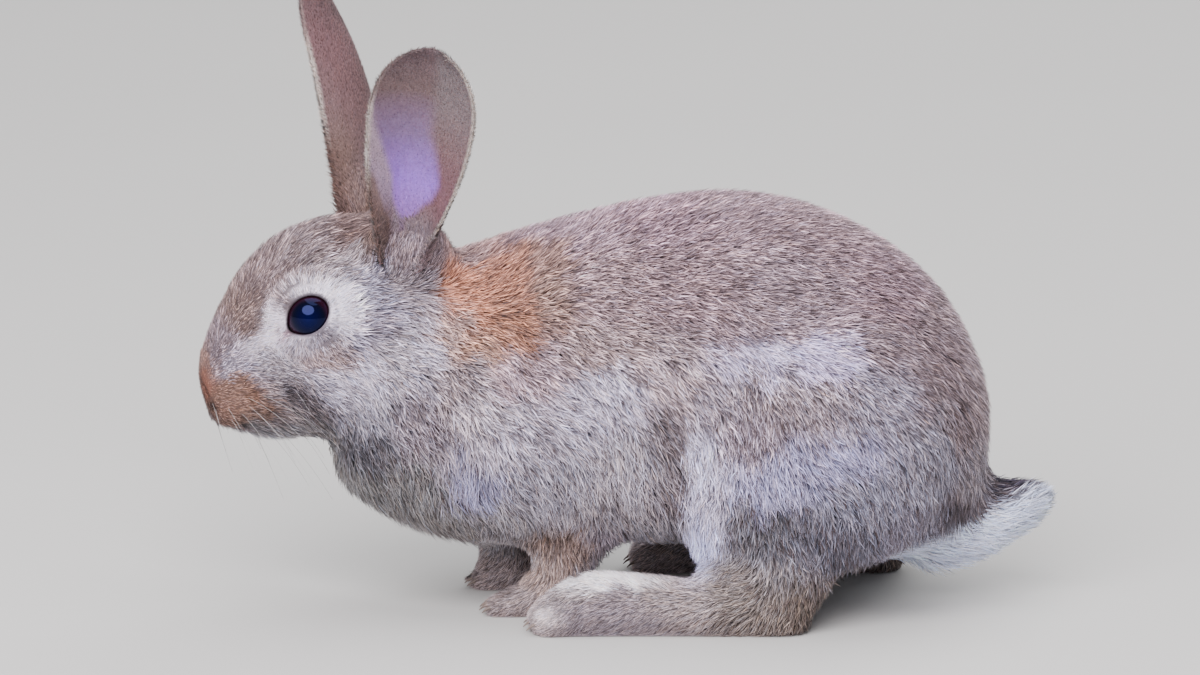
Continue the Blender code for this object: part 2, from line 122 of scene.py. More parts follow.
COAT_LIES = [Lie(*row) for row in (
    # Muzzle and face.
    ((-119, 0, 75), (0.3, 0.1, 0.95), 1.5, 0.4, 0.1),
    ((-117, 5, 70), (0.75, 0.4, 0.45), 1.5, 0.4, 0.1),
    ((-113, 9, 64), (0.9, 0.35, -0.1), 2, 0.5, 0.2),
    ((-106, 12, 64), (0.9, 0.35, -0.15), 2.6, 0.8, 0.3),
    ((-108, 9, 57), (0.9, 0.25, -0.3), 2.8, 0.9, 0.3),
    ((-99, 4, 53), (0.85, 0.05, -0.4), 4.2, 1.4, 0.5),
    ((-115, 3, 86), (0.42, 0.1, 0.9), 2.6, 0.7, 0.2),
    ((-112, 11, 76), (0.85, 0.3, 0.35), 2.8, 0.8, 0.3),
    ((-108, 3, 101), (0.52, 0.05, 0.85), 3.2, 1, 0.3),
    ((-104, 13, 88), (0.8, 0.3, 0.5), 3.2, 1, 0.3),
    ((-97, 17, 78), (0.95, 0.25, 0), 3.8, 1.3, 0.5),
    ((-97, 4, 114), (0.8, 0.05, 0.6), 4.2, 1.5, 0.3),
    ((-86, 13, 110), (0.9, 0.25, 0.35), 4.2, 1.4, 0.3),
    ((-76, 4, 121), (1, 0.05, 0.1), 5, 1.9, 0.3),
    ((-68, 20, 98), (1, 0.1, -0.05), 5.6, 2, 0.4),
    ((-86, 20, 72), (0.9, 0.25, -0.3), 5.2, 1.9, 0.6),
    ((-70, 22, 78), (0.85, 0.15, -0.45), 5.8, 1.9, 0.6),
    ((-82, 12, 57), (0.75, 0.1, -0.6), 6, 1.9, 0.8),
    # Up the root of the ear.
    ((-64, 13, 117), (0.1, 0.3, 0.95), 3, 1, 0.1),
    ((-56, 19, 114), (0.15, 0.35, 0.93), 3.2, 1.1, 0.1),
    ((-48, 14, 114), (0.35, 0.3, 0.88), 3.4, 1.2, 0.2),
    # Neck, chest and shoulder.
    ((-52, 4, 114), (1, 0.1, -0.15), 5.2, 2.1, 0.4),
    ((-48, 24, 92), (0.95, 0.1, -0.35), 5.8, 2.4, 0.5),
    ((-50, 22, 68), (0.8, 0.1, -0.6), 7.6, 3, 0.8),
    ((-72, 6, 48), (0.6, 0.05, -0.8), 7.6, 2.8, 1),
    ((-62, 12, 34), (0.35, 0, -0.94), 8.8, 3.4, 1),
    ((-46, 5, 23), (0.45, 0, -0.9), 8.8, 3.4, 1),
    ((-22, 36, 78), (0.8, 0.05, -0.55), 6.2, 2.7, 0.5),
    ((-26, 34, 50), (0.5, 0, -0.86), 8.4, 3.3, 0.9),
    # Back and rump.
    ((-30, 8, 113), (1, 0.05, 0.1), 4.8, 2.3, 0.3),
    ((10, 8, 124), (1, 0.05, 0.08), 4.8, 2.4, 0.3),
    ((50, 8, 128), (1, 0.05, -0.06), 4.8, 2.4, 0.3),
    ((84, 8, 115), (0.86, 0, -0.5), 5, 2.4, 0.3),
    ((106, 8, 93), (0.55, 0, -0.83), 5.4, 2.6, 0.4),
    ((117, 6, 66), (0.2, 0, -0.98), 8, 3.1, 0.6),
    ((110, 14, 38), (0.15, 0.1, -0.98), 8, 3, 0.8),
    # Flank and belly.
    ((20, 36, 104), (0.95, 0.1, -0.28), 5, 2.5, 0.3),
    ((55, 38, 108), (0.92, 0.1, -0.35), 5, 2.4, 0.3),
    ((12, 43, 78), (0.72, 0.05, -0.68), 5.8, 2.8, 0.6),
    ((14, 42, 52), (0.55, 0, -0.83), 9, 3.6, 0.9),
    ((8, 36, 33), (0.35, 0, -0.93), 10, 3.6, 1),
    ((12, 10, 21), (0.95, 0, -0.25), 6.4, 2.5, 0.6),
    ((70, 8, 17), (0.95, 0, -0.2), 6.4, 2.5, 0.6),
    # Haunch.
    ((70, 46, 96), (0.86, 0.05, -0.48), 5.4, 2.5, 0.4),
    ((98, 38, 80), (0.6, 0, -0.8), 5.4, 2.5, 0.5),
    ((74, 51, 64), (0.52, 0, -0.85), 6, 2.5, 0.6),
    ((42, 50, 58), (0.42, 0, -0.9), 6, 2.5, 0.7),
    ((32, 47, 38), (0.3, 0, -0.95), 6.8, 2.4, 0.9),
    ((60, 50, 36), (0.25, 0, -0.97), 6.8, 2.3, 1),
    ((94, 36, 38), (0.2, 0, -0.98), 7.4, 2.6, 0.9),
    ((62, 46, 16), (-0.15, 0.05, -0.98), 6, 1.9, 1),
    # Legs and feet.
    ((4, 26, 46), (0.35, 0, -0.93), 6.8, 2.2, 0.9),
    ((-10, 22, 28), (0.05, 0, -1), 5.5, 1.8, 0.7),
    ((-18, 16, 20), (-0.1, 0, -1), 4.5, 1.4, 0.4),
    ((-22, 16, 12), (-0.85, 0.05, -0.5), 3.4, 1, 0.3),
    ((-31, 16, 6), (-0.92, 0.05, -0.4), 2.6, 0.8, 0.3),
    ((10, 38, 21), (-1, 0, 0.05), 3.2, 1.2, 0.2),
    ((40, 38, 20), (-0.95, 0, -0.25), 4.2, 1.5, 0.5),
    ((14, 48, 9), (-0.95, 0, -0.32), 3, 1.1, 0.2),
    ((-14, 38, 13), (-0.88, 0, -0.45), 2.4, 0.8, 0.2),
    ((-17, 45, 7), (-0.92, 0, -0.36), 2, 0.6, 0.1),
    # Tail.
    ((108, 0, 38), (0.95, 0, 0.2), 8.8, 3.1, 0.9),
    ((112, 4, 13), (0.97, 0.05, 0.1), 9, 3.2, 0.6),
    ((124, 9, 28), (0.96, 0.1, 0.26), 8.4, 2.8, 0.5),
    ((136, 0, 34), (0.96, 0, 0.32), 7.2, 2.5, 0.5),
)]
# Millimetres within which the chart's places count alike, and how fast further ones lose weight.
LIE_SOFTNESS = 2.5
LIE_FADE = 2.2
# The same for the grounds of colour, counted in each one's own reach.
GROUND_SOFTNESS = 0.3
GROUND_FADE = 3.2
# Millimetres by which the borders between colours wander, and the size of their bends.
BORDER_WANDER = 2.2
BORDER_BENDS = 9.0
# Points looked up in the charts at a time.
CHART_ROWS = 20000


class Ground(NamedTuple):
    """A colour that the coat shows round a place, how far it reaches and how many of its tips are dark."""

    place: tuple
    reach: tuple
    colour: tuple
    ticking: float = 0.10


class Mark(NamedTuple):
    """A marking laid over the ground colours. Edge is high for a sharp border and strength is its share."""

    place: tuple
    reach: tuple
    colour: tuple
    strength: float
    edge: float = 2.0


# The colours of the grounds and of the marks carry the sky's cool lilac cast, painted in. On the lower parts
# of the body they carry painted shade as well.
GROUNDS = [Ground(*row) for row in (
    # Nose, bridge and forehead.
    ((-117, 5, 76), (5, 7, 5), (172, 137, 128)),
    ((-116, 8, 70), (4, 6, 4), (188, 129, 112), 0.06),
    ((-111, 7, 83), (6, 8, 6), (163, 145, 155), 0.25),
    ((-106, 8, 93), (7, 9, 8), (158, 134, 130), 0.5),
    ((-99, 8, 103), (8, 10, 7), (159, 138, 140), 0.5),
    ((-88, 7, 113), (9, 12, 7), (163, 145, 149), 0.5),
    ((-73, 5, 120), (10, 12, 7), (134, 110, 108), 0.5),
    ((-76, 17, 110), (7, 7, 5), (172, 159, 167), 0.25),
    # Lip pad, chin, and the painted shadow of the fold behind the lips.
    ((-109, 12, 68), (5, 5, 5), (164, 128, 115), 0.2),
    ((-103, 12, 68), (4.5, 5, 5), (148, 111, 94), 0.35),
    ((-104, 12, 62), (5, 6, 4), (134, 108, 99), 0.2),
    ((-94, 16, 72), (2.6, 5, 4), (168, 158, 167), 0.15),
    ((-94, 12, 61), (4, 6, 4), (147, 134, 138)),
    ((-104, 3, 53), (10, 9, 4), (163, 161, 169), 0.02),
    # Painted shadow of the fold behind the lip pad.
    ((-88.5, 17, 70), (2.8, 5, 3.2), (102, 91, 95), 0.2),
    ((-84, 17, 65), (2.6, 6, 3.4), (102, 94, 99), 0.15),
    ((-84, 8, 56), (7, 10, 5), (134, 128, 131)),
    # Cheek and jowl.
    ((-102, 14, 84), (5, 5, 4), (208, 198, 214), 0.05),
    ((-106, 12, 78), (5, 5, 4), (187, 176, 195), 0.15),
    ((-94, 16, 77), (5, 5, 4), (177, 167, 178), 0.15),
    ((-78, 20, 83), (7, 5, 3), (165, 143, 145), 0.2),
    ((-73, 21, 75), (9, 6, 7), (182, 174, 192), 0.06),
    ((-66, 22, 67), (8, 7, 5), (160, 154, 168)),
    ((-66, 19, 103), (6, 6, 6), (167, 161, 183), 0.25),
    ((-65, 20, 93), (7, 6, 7), (172, 163, 185), 0.2),
    ((-58, 22, 85), (7, 6, 7), (175, 165, 177), 0.12),
    ((-51, 24, 83), (5, 6, 9), (188, 179, 198), 0.08),
    # Round the ears.
    ((-54, 20, 103), (8, 7, 5), (175, 162, 173), 0.15),
    ((-52, 20, 120), (6, 8, 3), (138, 123, 131)),
    ((-55, 19, 112), (8, 9, 5), (146, 128, 135), 0.15),
    # Throat, chest and neck.
    ((-68, 20, 54), (8, 10, 7), (99, 96, 104), 0.15),
    ((-59, 22, 45), (9, 12, 8), (122, 119, 121), 0.15),
    ((-70, 4, 46), (9, 14, 9), (122, 119, 120)),
    ((-48, 18, 32), (12, 16, 8), (127, 122, 123)),
    ((-52, 29, 65), (7, 8, 8), (145, 134, 146), 0.25),
    ((-42, 30, 76), (7, 8, 7), (157, 142, 148), 0.3),
    ((-43, 24, 91), (5, 8, 8), (181, 151, 146), 0.15),
    # Rufous nape, behind the ears and down to the shoulder.
    ((-40, 6, 110), (7, 12, 4), (181, 149, 149), 0.15),
    ((-36, 16, 102), (8, 10, 6), (201, 137, 113), 0.15),
    ((-38, 24, 96), (5, 8, 6), (194, 133, 110), 0.18),
    ((-26, 18, 105), (8, 10, 6), (189, 132, 112), 0.25),
    ((-24, 26, 94), (8, 8, 6), (168, 117, 96), 0.3),
    ((-35, 27, 88), (5, 8, 4), (189, 146, 129), 0.2),
    ((-14, 23, 101), (6, 9, 6), (166, 134, 124), 0.35),
    ((-14, 18, 109), (8, 12, 5), (172, 137, 128), 0.3),
    # Shoulder and upper arm.
    ((-22, 32, 80), (10, 8, 7), (188, 163, 174), 0.3),
    ((-34, 32, 70), (8, 8, 7), (188, 176, 188), 0.2),
    ((-35, 31, 48), (5, 9, 6), (149, 145, 176)),
    ((-22, 35, 66), (10, 8, 7), (177, 168, 185), 0.2),
    ((-16, 34, 48), (10, 9, 8), (149, 143, 156), 0.15),
    ((-28, 28, 34), (10, 12, 6), (136, 130, 136), 0.12),
    # Back.
    ((-9, 4, 117), (14, 18, 5), (178, 151, 164), 0.34),
    ((15, 6, 123), (14, 20, 5), (173, 143, 157), 0.38),
    ((41, 8, 126), (14, 20, 5), (168, 143, 154), 0.42),
    ((68, 8, 121), (12, 20, 6), (167, 142, 151), 0.4),
    ((2, 26, 104), (14, 12, 7), (179, 152, 159), 0.4),
    ((29, 29, 104), (13, 12, 7), (172, 145, 154), 0.42),
    ((56, 30, 104), (12, 12, 7), (170, 148, 159), 0.42),
    ((86, 18, 104), (9, 16, 8), (158, 133, 144), 0.38),
    ((101, 18, 87), (8, 16, 8), (153, 134, 141), 0.34),
    ((110, 14, 68), (7, 16, 9), (147, 131, 137), 0.3),
    ((115, 10, 46), (7, 16, 10), (143, 134, 143), 0.25),
    # Flank and belly.
    ((3, 34, 88), (12, 8, 5), (174, 152, 155), 0.36),
    ((2, 36, 73), (12, 8, 7), (190, 181, 202), 0.18),
    ((22, 38, 80), (7, 8, 8), (185, 166, 175), 0.26),
    ((8, 37, 57), (9, 8, 7), (165, 157, 169), 0.18),
    ((2, 34, 42), (9, 9, 6), (159, 150, 158), 0.12),
    ((17, 30, 33), (9, 8, 4), (153, 147, 155), 0.05),
    ((16, 8, 21), (36, 18, 5), (184, 178, 186), 0),
    # Painted shade in the crease between flank and thigh.
    ((21, 39, 56), (4, 6, 13), (128, 118, 125), 0.3),
    # Haunch: a pale arc round a browner oval, over a pale thigh with a dark lower edge.
    ((31, 44, 57), (3.4, 6, 8), (194, 189, 216)),
    ((37, 41, 72), (5, 6, 5), (163, 151, 165), 0.22),
    ((50, 40, 87), (9, 8, 3.4), (203, 192, 225), 0.14),
    ((69, 42, 87.5), (8, 8, 3), (196, 183, 221), 0.14),
    ((84, 38, 91), (6, 8, 5), (160, 141, 150), 0.36),
    ((84, 42, 75), (5, 8, 6.5), (167, 159, 178), 0.22),
    ((59, 45, 76), (9, 7, 4.4), (165, 150, 160), 0.38),
    ((47, 45, 65), (7, 7, 4), (165, 150, 165), 0.4),
    ((64, 48, 58), (10, 7, 4), (165, 160, 196), 0.12),
    ((52, 49, 51), (9, 7, 4.5), (176, 171, 208), 0.08),
    ((77, 46, 44), (9, 8, 6), (133, 130, 147), 0.16),
    ((34, 45, 43), (4.5, 8, 7), (179, 172, 196), 0.08),
    ((50, 46, 38), (10, 9, 5.5), (106, 103, 112), 0.24),
    ((74, 43, 35), (11, 9, 8), (104, 101, 114), 0.24),
    ((101, 36, 54), (7, 9, 8), (152, 147, 163), 0.22),
    ((95, 34, 35), (8, 10, 8), (130, 124, 140), 0.2),
    # Forelegs and feet.
    ((-9, 22, 26), (8, 8, 6), (164, 141, 134), 0.2),
    ((-14, 20, 17), (7, 7, 5), (174, 152, 146)),
    ((3, 22, 25), (5, 8, 8), (165, 152, 162), 0.05),
    ((-24, 16, 8), (9, 9, 5), (168, 152, 153), 0.05),
    ((2, 39, 19), (15, 8, 3.4), (244, 238, 244), 0),
    ((-4, 45, 16), (9, 6, 3), (206, 193, 198), 0),
    ((2, 47, 12), (15, 5, 5), (167, 153, 161), 0),
    ((-15, 40, 9), (5, 9, 4), (202, 185, 188), 0),
    ((27, 43, 15), (9, 8, 5), (172, 157, 158), 0.03),
    ((46, 43, 13), (9, 8, 5), (138, 126, 122), 0.15),
    ((68, 42, 13), (9, 9, 6), (112, 100, 94), 0.2),
    # Tail.
    ((106, 4, 36), (9, 7, 7), (46, 40, 52), 0.2),
    # Painted shadow under the rump, beside the tail's dark top.
    ((110, 18, 38), (6, 10, 4.5), (74, 67, 74), 0.2),
    ((120, 2, 39), (12, 5, 5), (46, 40, 54), 0.2),
    ((116, 9, 20), (18, 8, 7), (222, 229, 255), 0),
    ((137, 3, 31), (8, 8, 7), (222, 230, 255), 0),
)]

MARKS = [Mark(*row) for row in (
    # Pale ring round the eye, widest in front.
    ((-94, 17, 90.5), (5.5, 8, 7.2), (246, 236, 255), 1, 3),
    ((-81.5, 17, 101), (8.8, 8, 3.7), (246, 238, 255), 1, 4),
    ((-75, 18, 95), (4.8, 8, 6.5), (246, 238, 255), 1, 3),
    ((-86, 20, 87), (7, 7, 3), (222, 212, 234), 0.8, 3),
    ((-91, 18, 89), (2, 5, 1.5), (178, 138, 152), 0.8, 3),
    # Dark stripe in front of the ear's root: partly dark fur, partly painted shade between the ears.
    ((-67, 16, 118), (4, 8, 9), (96, 75, 58), 0.72, 3),
    # Painted shade in the nostril and under the lip pad, and the painted shadow of the fold behind the lip
    # pad.
    ((-113.2, 8.6, 64.4), (2.3, 4, 1.5), (44, 34, 38), 0.9, 3),
    ((-106, 8, 56.8), (7, 6, 1.4), (104, 88, 92), 0.7, 3),
    ((-91.2, 16, 70.5), (2.9, 6, 3.6), (52, 46, 52), 0.95, 3),
    # White patch before the knee.
    ((32, 42, 29), (5.5, 14, 9.5), (206, 208, 255), 1, 3),
    # Lines of painted shade along the side of the hind foot and over its outermost toe, which is pale.
    ((4, 47, 15), (18, 5, 1.5), (124, 110, 108), 0.4, 2),
    ((-10, 46, 14), (7, 5, 1.3), (112, 98, 96), 0.6, 2),
    ((-14, 46, 9.5), (4.5, 5, 3.4), (236, 224, 228), 0.65, 2),
    # Painted shade over the heel, under the thigh's hanging fur.
    ((52, 45, 20), (12, 9, 4), (92, 82, 80), 0.3),
)]


def linear(colour):
    """Linear light of a colour given from 0 to 255."""
    share = np.asarray(colour, dtype=float) / 255.0
    return np.where(share <= 0.04045, share / 12.92, ((share + 0.055) / 1.055) ** 2.4)


def unit(vectors):
    return vectors / (np.linalg.norm(vectors, axis=-1, keepdims=True) + 1e-12)


def blended(first, second, share):
    """The first where share is 0, the second where it is 1, and a mixture between."""
    return first * (1.0 - share) + second * share


def smooth_step(low, high, values):
    """A smooth rise of the values from 0 at low to 1 at high. High may be the smaller, for a fall."""
    share = np.clip((values - low) / (high - low), 0.0, 1.0)
    return share * share * (3.0 - 2.0 * share)


def mirrored(place, side):
    """A place given for the right side, brought to the given side."""
    return np.asarray(place) * np.array((1.0, side, 1.0))


def sides_of(points):
    return np.where(points[:, 1] < 0, LEFT, RIGHT)


def waves(points, size, seed):
    """Smooth noise from about -1 to 1, from a few crossing waves of about the given size in millimetres."""
    rng = np.random.default_rng(seed)
    total = np.zeros(len(points))
    for _ in range(7):
        direction = unit(rng.normal(size=3))
        length = size * rng.uniform(0.7, 1.7)
        total += np.sin(points @ direction * (math.tau / length) + rng.uniform(0, math.tau))
    return total / 3.0


def wave_vectors(points, size, seed):
    """Smooth noise along each of the three axes."""
    return np.stack([waves(points, size, seed + axis) for axis in range(3)], axis=1)


def folded(points, stagger):
    """Body places brought to one side, with the staggered feet moved level with their fellows."""
    place = points.copy()
    place[:, 1] = np.abs(place[:, 1])
    place[:, 0] -= stagger
    return place


def chart_mean(place, centres, reach, softness, fade, values):
    """The mean of a chart's values at some places, where what is close by weighs the most."""
    mean = np.zeros((len(place), values.shape[1]))
    for start in range(0, len(place), CHART_ROWS):
        part = slice(start, start + CHART_ROWS)
        gap = (((place[part, None, :] - centres[None]) / reach) ** 2).sum(axis=2)
        weight = 1.0 / (softness + gap) ** fade
        weight /= weight.sum(axis=1, keepdims=True)
        mean[part] = weight @ values
    return mean


def coat_lie(place, side):
    """Which way the coat lies at folded places, and how long, deep and loose it is there."""
    centres = np.array([lie.place for lie in COAT_LIES], dtype=float)
    towards = unit(np.array([lie.towards for lie in COAT_LIES], dtype=float))
    sizes = np.array([(lie.length, lie.depth, lie.loose) for lie in COAT_LIES])
    mean = chart_mean(place, centres, 1.0, LIE_SOFTNESS**2, LIE_FADE, np.hstack((towards, sizes)))
    direction, size = mean[:, :3], mean[:, 3:]
    direction[:, 1] *= side
    return unit(direction), size[:, 0], size[:, 1], size[:, 2]


def coat_tint(place):
    """The coat's linear colour at folded places, and the share of its tips that are dark."""
    centres = np.array([ground.place for ground in GROUNDS], dtype=float)
    reach = np.array([ground.reach for ground in GROUNDS], dtype=float)
    values = np.array([(*linear(ground.colour), ground.ticking) for ground in GROUNDS])
    moved = place + BORDER_WANDER * wave_vectors(place, BORDER_BENDS, 41)
    mean = chart_mean(moved, centres, reach, GROUND_SOFTNESS, GROUND_FADE, values)
    tint, ticks = mean[:, :3], mean[:, 3]
    for mark in MARKS:
        gap = np.sqrt((((place - np.array(mark.place)) / np.array(mark.reach)) ** 2).sum(axis=1))
        share = (mark.strength * np.exp(-(gap**mark.edge)))[:, None]
        tint = blended(tint, linear(mark.colour), share)
    return tint, ticks


# ---- mesh arrays


def edge_pairs(tris):
    pairs = np.sort(np.concatenate((tris[:, [0, 1]], tris[:, [1, 2]], tris[:, [2, 0]])), axis=1)
    return np.unique(pairs, axis=0)


def neighbour_mean(values, pairs):
    """Each point's mean of its neighbours' values."""
    count = len(values)
    degree = np.maximum(np.bincount(pairs.ravel(), minlength=count), 1)
    flat = values.reshape(count, -1)
    total = np.empty_like(flat)
    for column in range(flat.shape[1]):
        there = np.bincount(pairs[:, 0], flat[pairs[:, 1], column], count)
        back = np.bincount(pairs[:, 1], flat[pairs[:, 0], column], count)
        total[:, column] = (there + back) / degree
    return total.reshape(values.shape)


def relaxed(values, pairs, share, rounds):
    """Values drawn towards their neighbours' mean. Share may be a number, or one for each point."""
    for _ in range(rounds):
        values = values + share * (neighbour_mean(values, pairs) - values)
    return values


def point_normals(points, tris):
    corners = points[tris]
    face = np.cross(corners[:, 1] - corners[:, 0], corners[:, 2] - corners[:, 0])
    total = np.zeros_like(points)
    for corner in range(3):
        for axis in range(3):
            total[:, axis] += np.bincount(tris[:, corner], face[:, axis], len(points))
    return unit(total)


def facing_out(points, tris):
    """The triangles of a closed shell, turned so that they all face outwards."""
    corners = points[tris]
    volume = (corners[:, 0] * np.cross(corners[:, 1], corners[:, 2])).sum()
    return tris if volume > 0 else tris[:, ::-1]


def tube_faces(rows, count, turned):
    """Triangles that join rows of points, each row a closed ring."""
    tris = []
    for row in range(rows - 1):
        for i in range(count):
            a, b = row * count + i, row * count + (i + 1) % count
            c, d = b + count, a + count
            tris += [(a, d, c), (a, c, b)] if turned else [(a, b, c), (a, c, d)]
    return tris


# The field and the width of each kind of attribute.
ATTRIBUTE_FIELDS = {
    "INT": ("value", 1), "FLOAT": ("value", 1), "FLOAT_VECTOR": ("vector", 3), "FLOAT_COLOR": ("color", 4),
}


def put_attribute(mesh, name, kind, values):
    """Stores one value for each point of the mesh."""
    attribute = mesh.attributes.new(name, kind, "POINT")
    if kind == "FLOAT_COLOR":
        values = np.concatenate((values, np.ones((len(values), 1))), axis=1)
    dtype = np.int32 if kind == "INT" else np.float32
    attribute.data.foreach_set(ATTRIBUTE_FIELDS[kind][0], np.ascontiguousarray(values, dtype=dtype).ravel())


def get_attribute(mesh, name):
    """One value for each point of the mesh, and of a colour its three channels."""
    attribute = mesh.attributes[name]
    field, width = ATTRIBUTE_FIELDS[attribute.data_type]
    values = np.empty(len(mesh.vertices) * width, dtype=np.float32)
    attribute.data.foreach_get(field, values)
    values = values.astype(float)
    return values if width == 1 else values.reshape(-1, width)[:, :3]


def mesh_points(mesh):
    values = np.empty(len(mesh.vertices) * 3, dtype=np.float32)
    mesh.vertices.foreach_get("co", values)
    return values.reshape(-1, 3).astype(float)


def mesh_triangles(mesh):
    values = np.empty(len(mesh.polygons) * 3, dtype=np.int32)
    mesh.polygons.foreach_get("vertices", values)
    return values.reshape(-1, 3)


def triangle_mesh(name, points, tris):
    """A mesh of triangles from points in body millimetres."""
    mesh = bpy.data.meshes.new(name)
    mesh.vertices.add(len(points))
    mesh.vertices.foreach_set("co", to_frame(points).astype(np.float32).ravel())
    mesh.loops.add(len(tris) * 3)
    mesh.loops.foreach_set("vertex_index", tris.astype(np.int32).ravel())
    mesh.polygons.add(len(tris))
    mesh.polygons.foreach_set("loop_start", np.arange(0, len(tris) * 3, 3, dtype=np.int32))
    mesh.update(calc_edges=True)
    mesh.shade_smooth()
    return mesh


def linked(name, mesh, collection="rabbit_looks"):
    """A new object for the mesh, in the collection of that name."""
    group = bpy.data.collections.get(collection)
    if group is None:
        group = bpy.data.collections.new(collection)
        bpy.context.scene.collection.children.link(group)
    obj = bpy.data.objects.new(name, mesh)
    group.objects.link(obj)
    return obj


def evaluated_mesh(obj):
    graph = bpy.context.evaluated_depsgraph_get()
    return bpy.data.meshes.new_from_object(obj.evaluated_get(graph))


# ---- materials


class Nodes:
    """A node tree, with short ways to add and join its nodes."""

    def __init__(self, tree):
        self.tree = tree

    def node(self, kind, settings=None, **sockets):
        """A new node with its settings, and its sockets set to values or joined to outputs or other nodes."""
        node = self.tree.nodes.new(kind)
        for key, value in (settings or {}).items():
            setattr(node, key, value)
        for key, value in sockets.items():
            self.plug(node, key.replace("_", " "), value)
        return node

    def ordered(self, kind, settings, *values):
        """A new node whose sockets share a name, so that they are set or joined in order."""
        node = self.node(kind, settings)
        for index, value in enumerate(values):
            self.plug(node, index, value)
        return node

    def plug(self, node, socket, value):
        """Sets or joins a socket, given by its name or number. A node is joined by its first output."""
        if isinstance(socket, str):
            target = next(s for s in node.inputs if s.name.lower() == socket.lower() and s.enabled)
        else:
            target = node.inputs[socket]
        if isinstance(value, bpy.types.Node):
            value = next(output for output in value.outputs if output.enabled)
        if isinstance(value, bpy.types.NodeSocket):
            self.tree.links.new(value, target)
        else:
            target.default_value = value


class Shader(Nodes):
    """A material's node tree, with the steps that these materials share."""

    def __init__(self, name):
        self.material = bpy.data.materials.new(name)
        self.material.use_nodes = True
        super().__init__(self.material.node_tree)
        self.surface = self.tree.nodes["Principled BSDF"]

    def attribute(self, name, output="Fac"):
        return self.node("ShaderNodeAttribute", {"attribute_name": name}).outputs[output]

    def object_place(self):
        return self.node("ShaderNodeTexCoord").outputs["Object"]

    def noise(self, scale, detail=3.0, roughness=0.55):
        place = self.object_place()
        return self.node("ShaderNodeTexNoise", scale=scale, detail=detail, roughness=roughness, vector=place)

    def ranged(self, value, low, high, from_low=0.0, from_high=1.0):
        return self.node(
            "ShaderNodeMapRange", value=value, from_min=from_low, from_max=from_high, to_min=low, to_max=high
        )

    def varied(self, noise, spread):
        """A number about 1 that a noise varies by the spread either way."""
        return self.ranged(noise, 1.0 - spread, 1.0 + spread, *NOISE_SPAN)

    def scaled(self, colour, amount):
        """The colour times a number that varies over the surface."""
        node = self.ordered("ShaderNodeVectorMath", {"operation": "SCALE"}, colour)
        self.plug(node, "Scale", amount)
        return node

    def product(self, first, second):
        return self.ordered("ShaderNodeMath", {"operation": "MULTIPLY"}, first, second)

    def mixed(self, first, second, share):
        node = self.node("ShaderNodeMix", {"data_type": "RGBA"})
        for index, value in zip(COLOUR_MIX_SOCKETS, (share, first, second)):
            self.plug(node, index, value)
        return node

    def ramp(self, value, stops):
        node = self.node("ShaderNodeValToRGB", fac=value)
        elements = node.color_ramp.elements
        while len(elements) < len(stops):
            elements.new(0.5)
        for element, (position, colour) in zip(elements, stops):
            element.position = position
            element.color = (*colour, 1.0)
        return node

    def bump(self, height, distance, strength):
        return self.node("ShaderNodeBump", height=height, distance=distance, strength=strength)

    def finish(self, **sockets):
        for key, value in sockets.items():
            self.plug(self.surface, key.replace("_", " "), value)
        return self.material


# Nearly all of a noise's values lie in this span.
NOISE_SPAN = (0.3, 0.7)
# Numbers of a colour mix's sockets: its share and its two colours.
COLOUR_MIX_SOCKETS = (0, 6, 7)
# Lightness along a tuft, from its root at 0 to its tip at 1: with a band above the slaty part, or white.
BANDED_LIGHTNESS = [(0.28, 0.40), (0.46, 0.60), (0.56, 0.66), (0.70, 1.30), (1.0, 1.50)]
WHITE_LIGHTNESS = [(0.0, 0.80), (0.4, 1.06), (0.7, 1.18), (1.0, 1.28)]
# Where along a tuft the colour of its dark or frosted tip begins, and where it is full.
TIP_BAND = (0.42, 0.60)


def coat_material(settings):
    """Fur: each tuft slaty at its root, banded with its own colour, and some dark or frosted at the tip."""
    shader = Shader("coat_fur")
    tint = shader.attribute("coat_colour", "Color")
    along = shader.attribute("along")
    tip = shader.attribute("tip_band")
    white = shader.attribute("whiteness")
    depths = [
        shader.ramp(along, [(at, (value,) * 3) for at, value in stops])
        for stops in ([(0.0, settings.root_shade)] + BANDED_LIGHTNESS, WHITE_LIGHTNESS)
    ]
    depth = shader.mixed(*depths, white)
    colour = shader.scaled(tint, shader.node("ShaderNodeSeparateColor", color=depth))
    band = shader.ranged(along, 0.0, 1.0, *TIP_BAND)
    dark = shader.product(shader.ranged(tip, 1.0, 0.0, -1.0, 0.0), band)
    pale = shader.product(shader.ranged(tip, 0.0, 1.0), band)
    colour = shader.mixed(colour, (*settings.dark_tip, 1.0), dark)
    colour = shader.mixed(colour, shader.scaled(colour, settings.pale_gain), pale)
    fine = shader.varied(shader.noise(1500.0, detail=2.0), 0.16)
    broad = shader.varied(shader.noise(160.0, detail=2.0), 0.07)
    return shader.finish(
        base_color=shader.scaled(shader.scaled(colour, fine), broad),
        roughness=0.62,
        specular_ior_level=0.22,
        sheen_weight=0.08,
        sheen_roughness=0.45,
    )


def skin_material():
    """Close underfur: the same markings as the coat, deeper in colour, partly its own slaty tone and partly
    painted shade deep in the coat, with a fine nap.
    """
    shader = Shader("rabbit_underfur")
    nap = shader.noise(1100.0, detail=4.0, roughness=0.7)
    colour = shader.scaled(shader.attribute("skin_colour", "Color"), shader.varied(nap, 0.28))
    colour = shader.scaled(colour, shader.varied(shader.noise(240.0), 0.1))
    normal = shader.bump(nap, 0.0004, 0.8)
    return shader.finish(base_color=colour, roughness=0.8, specular_ior_level=0.2, normal=normal)


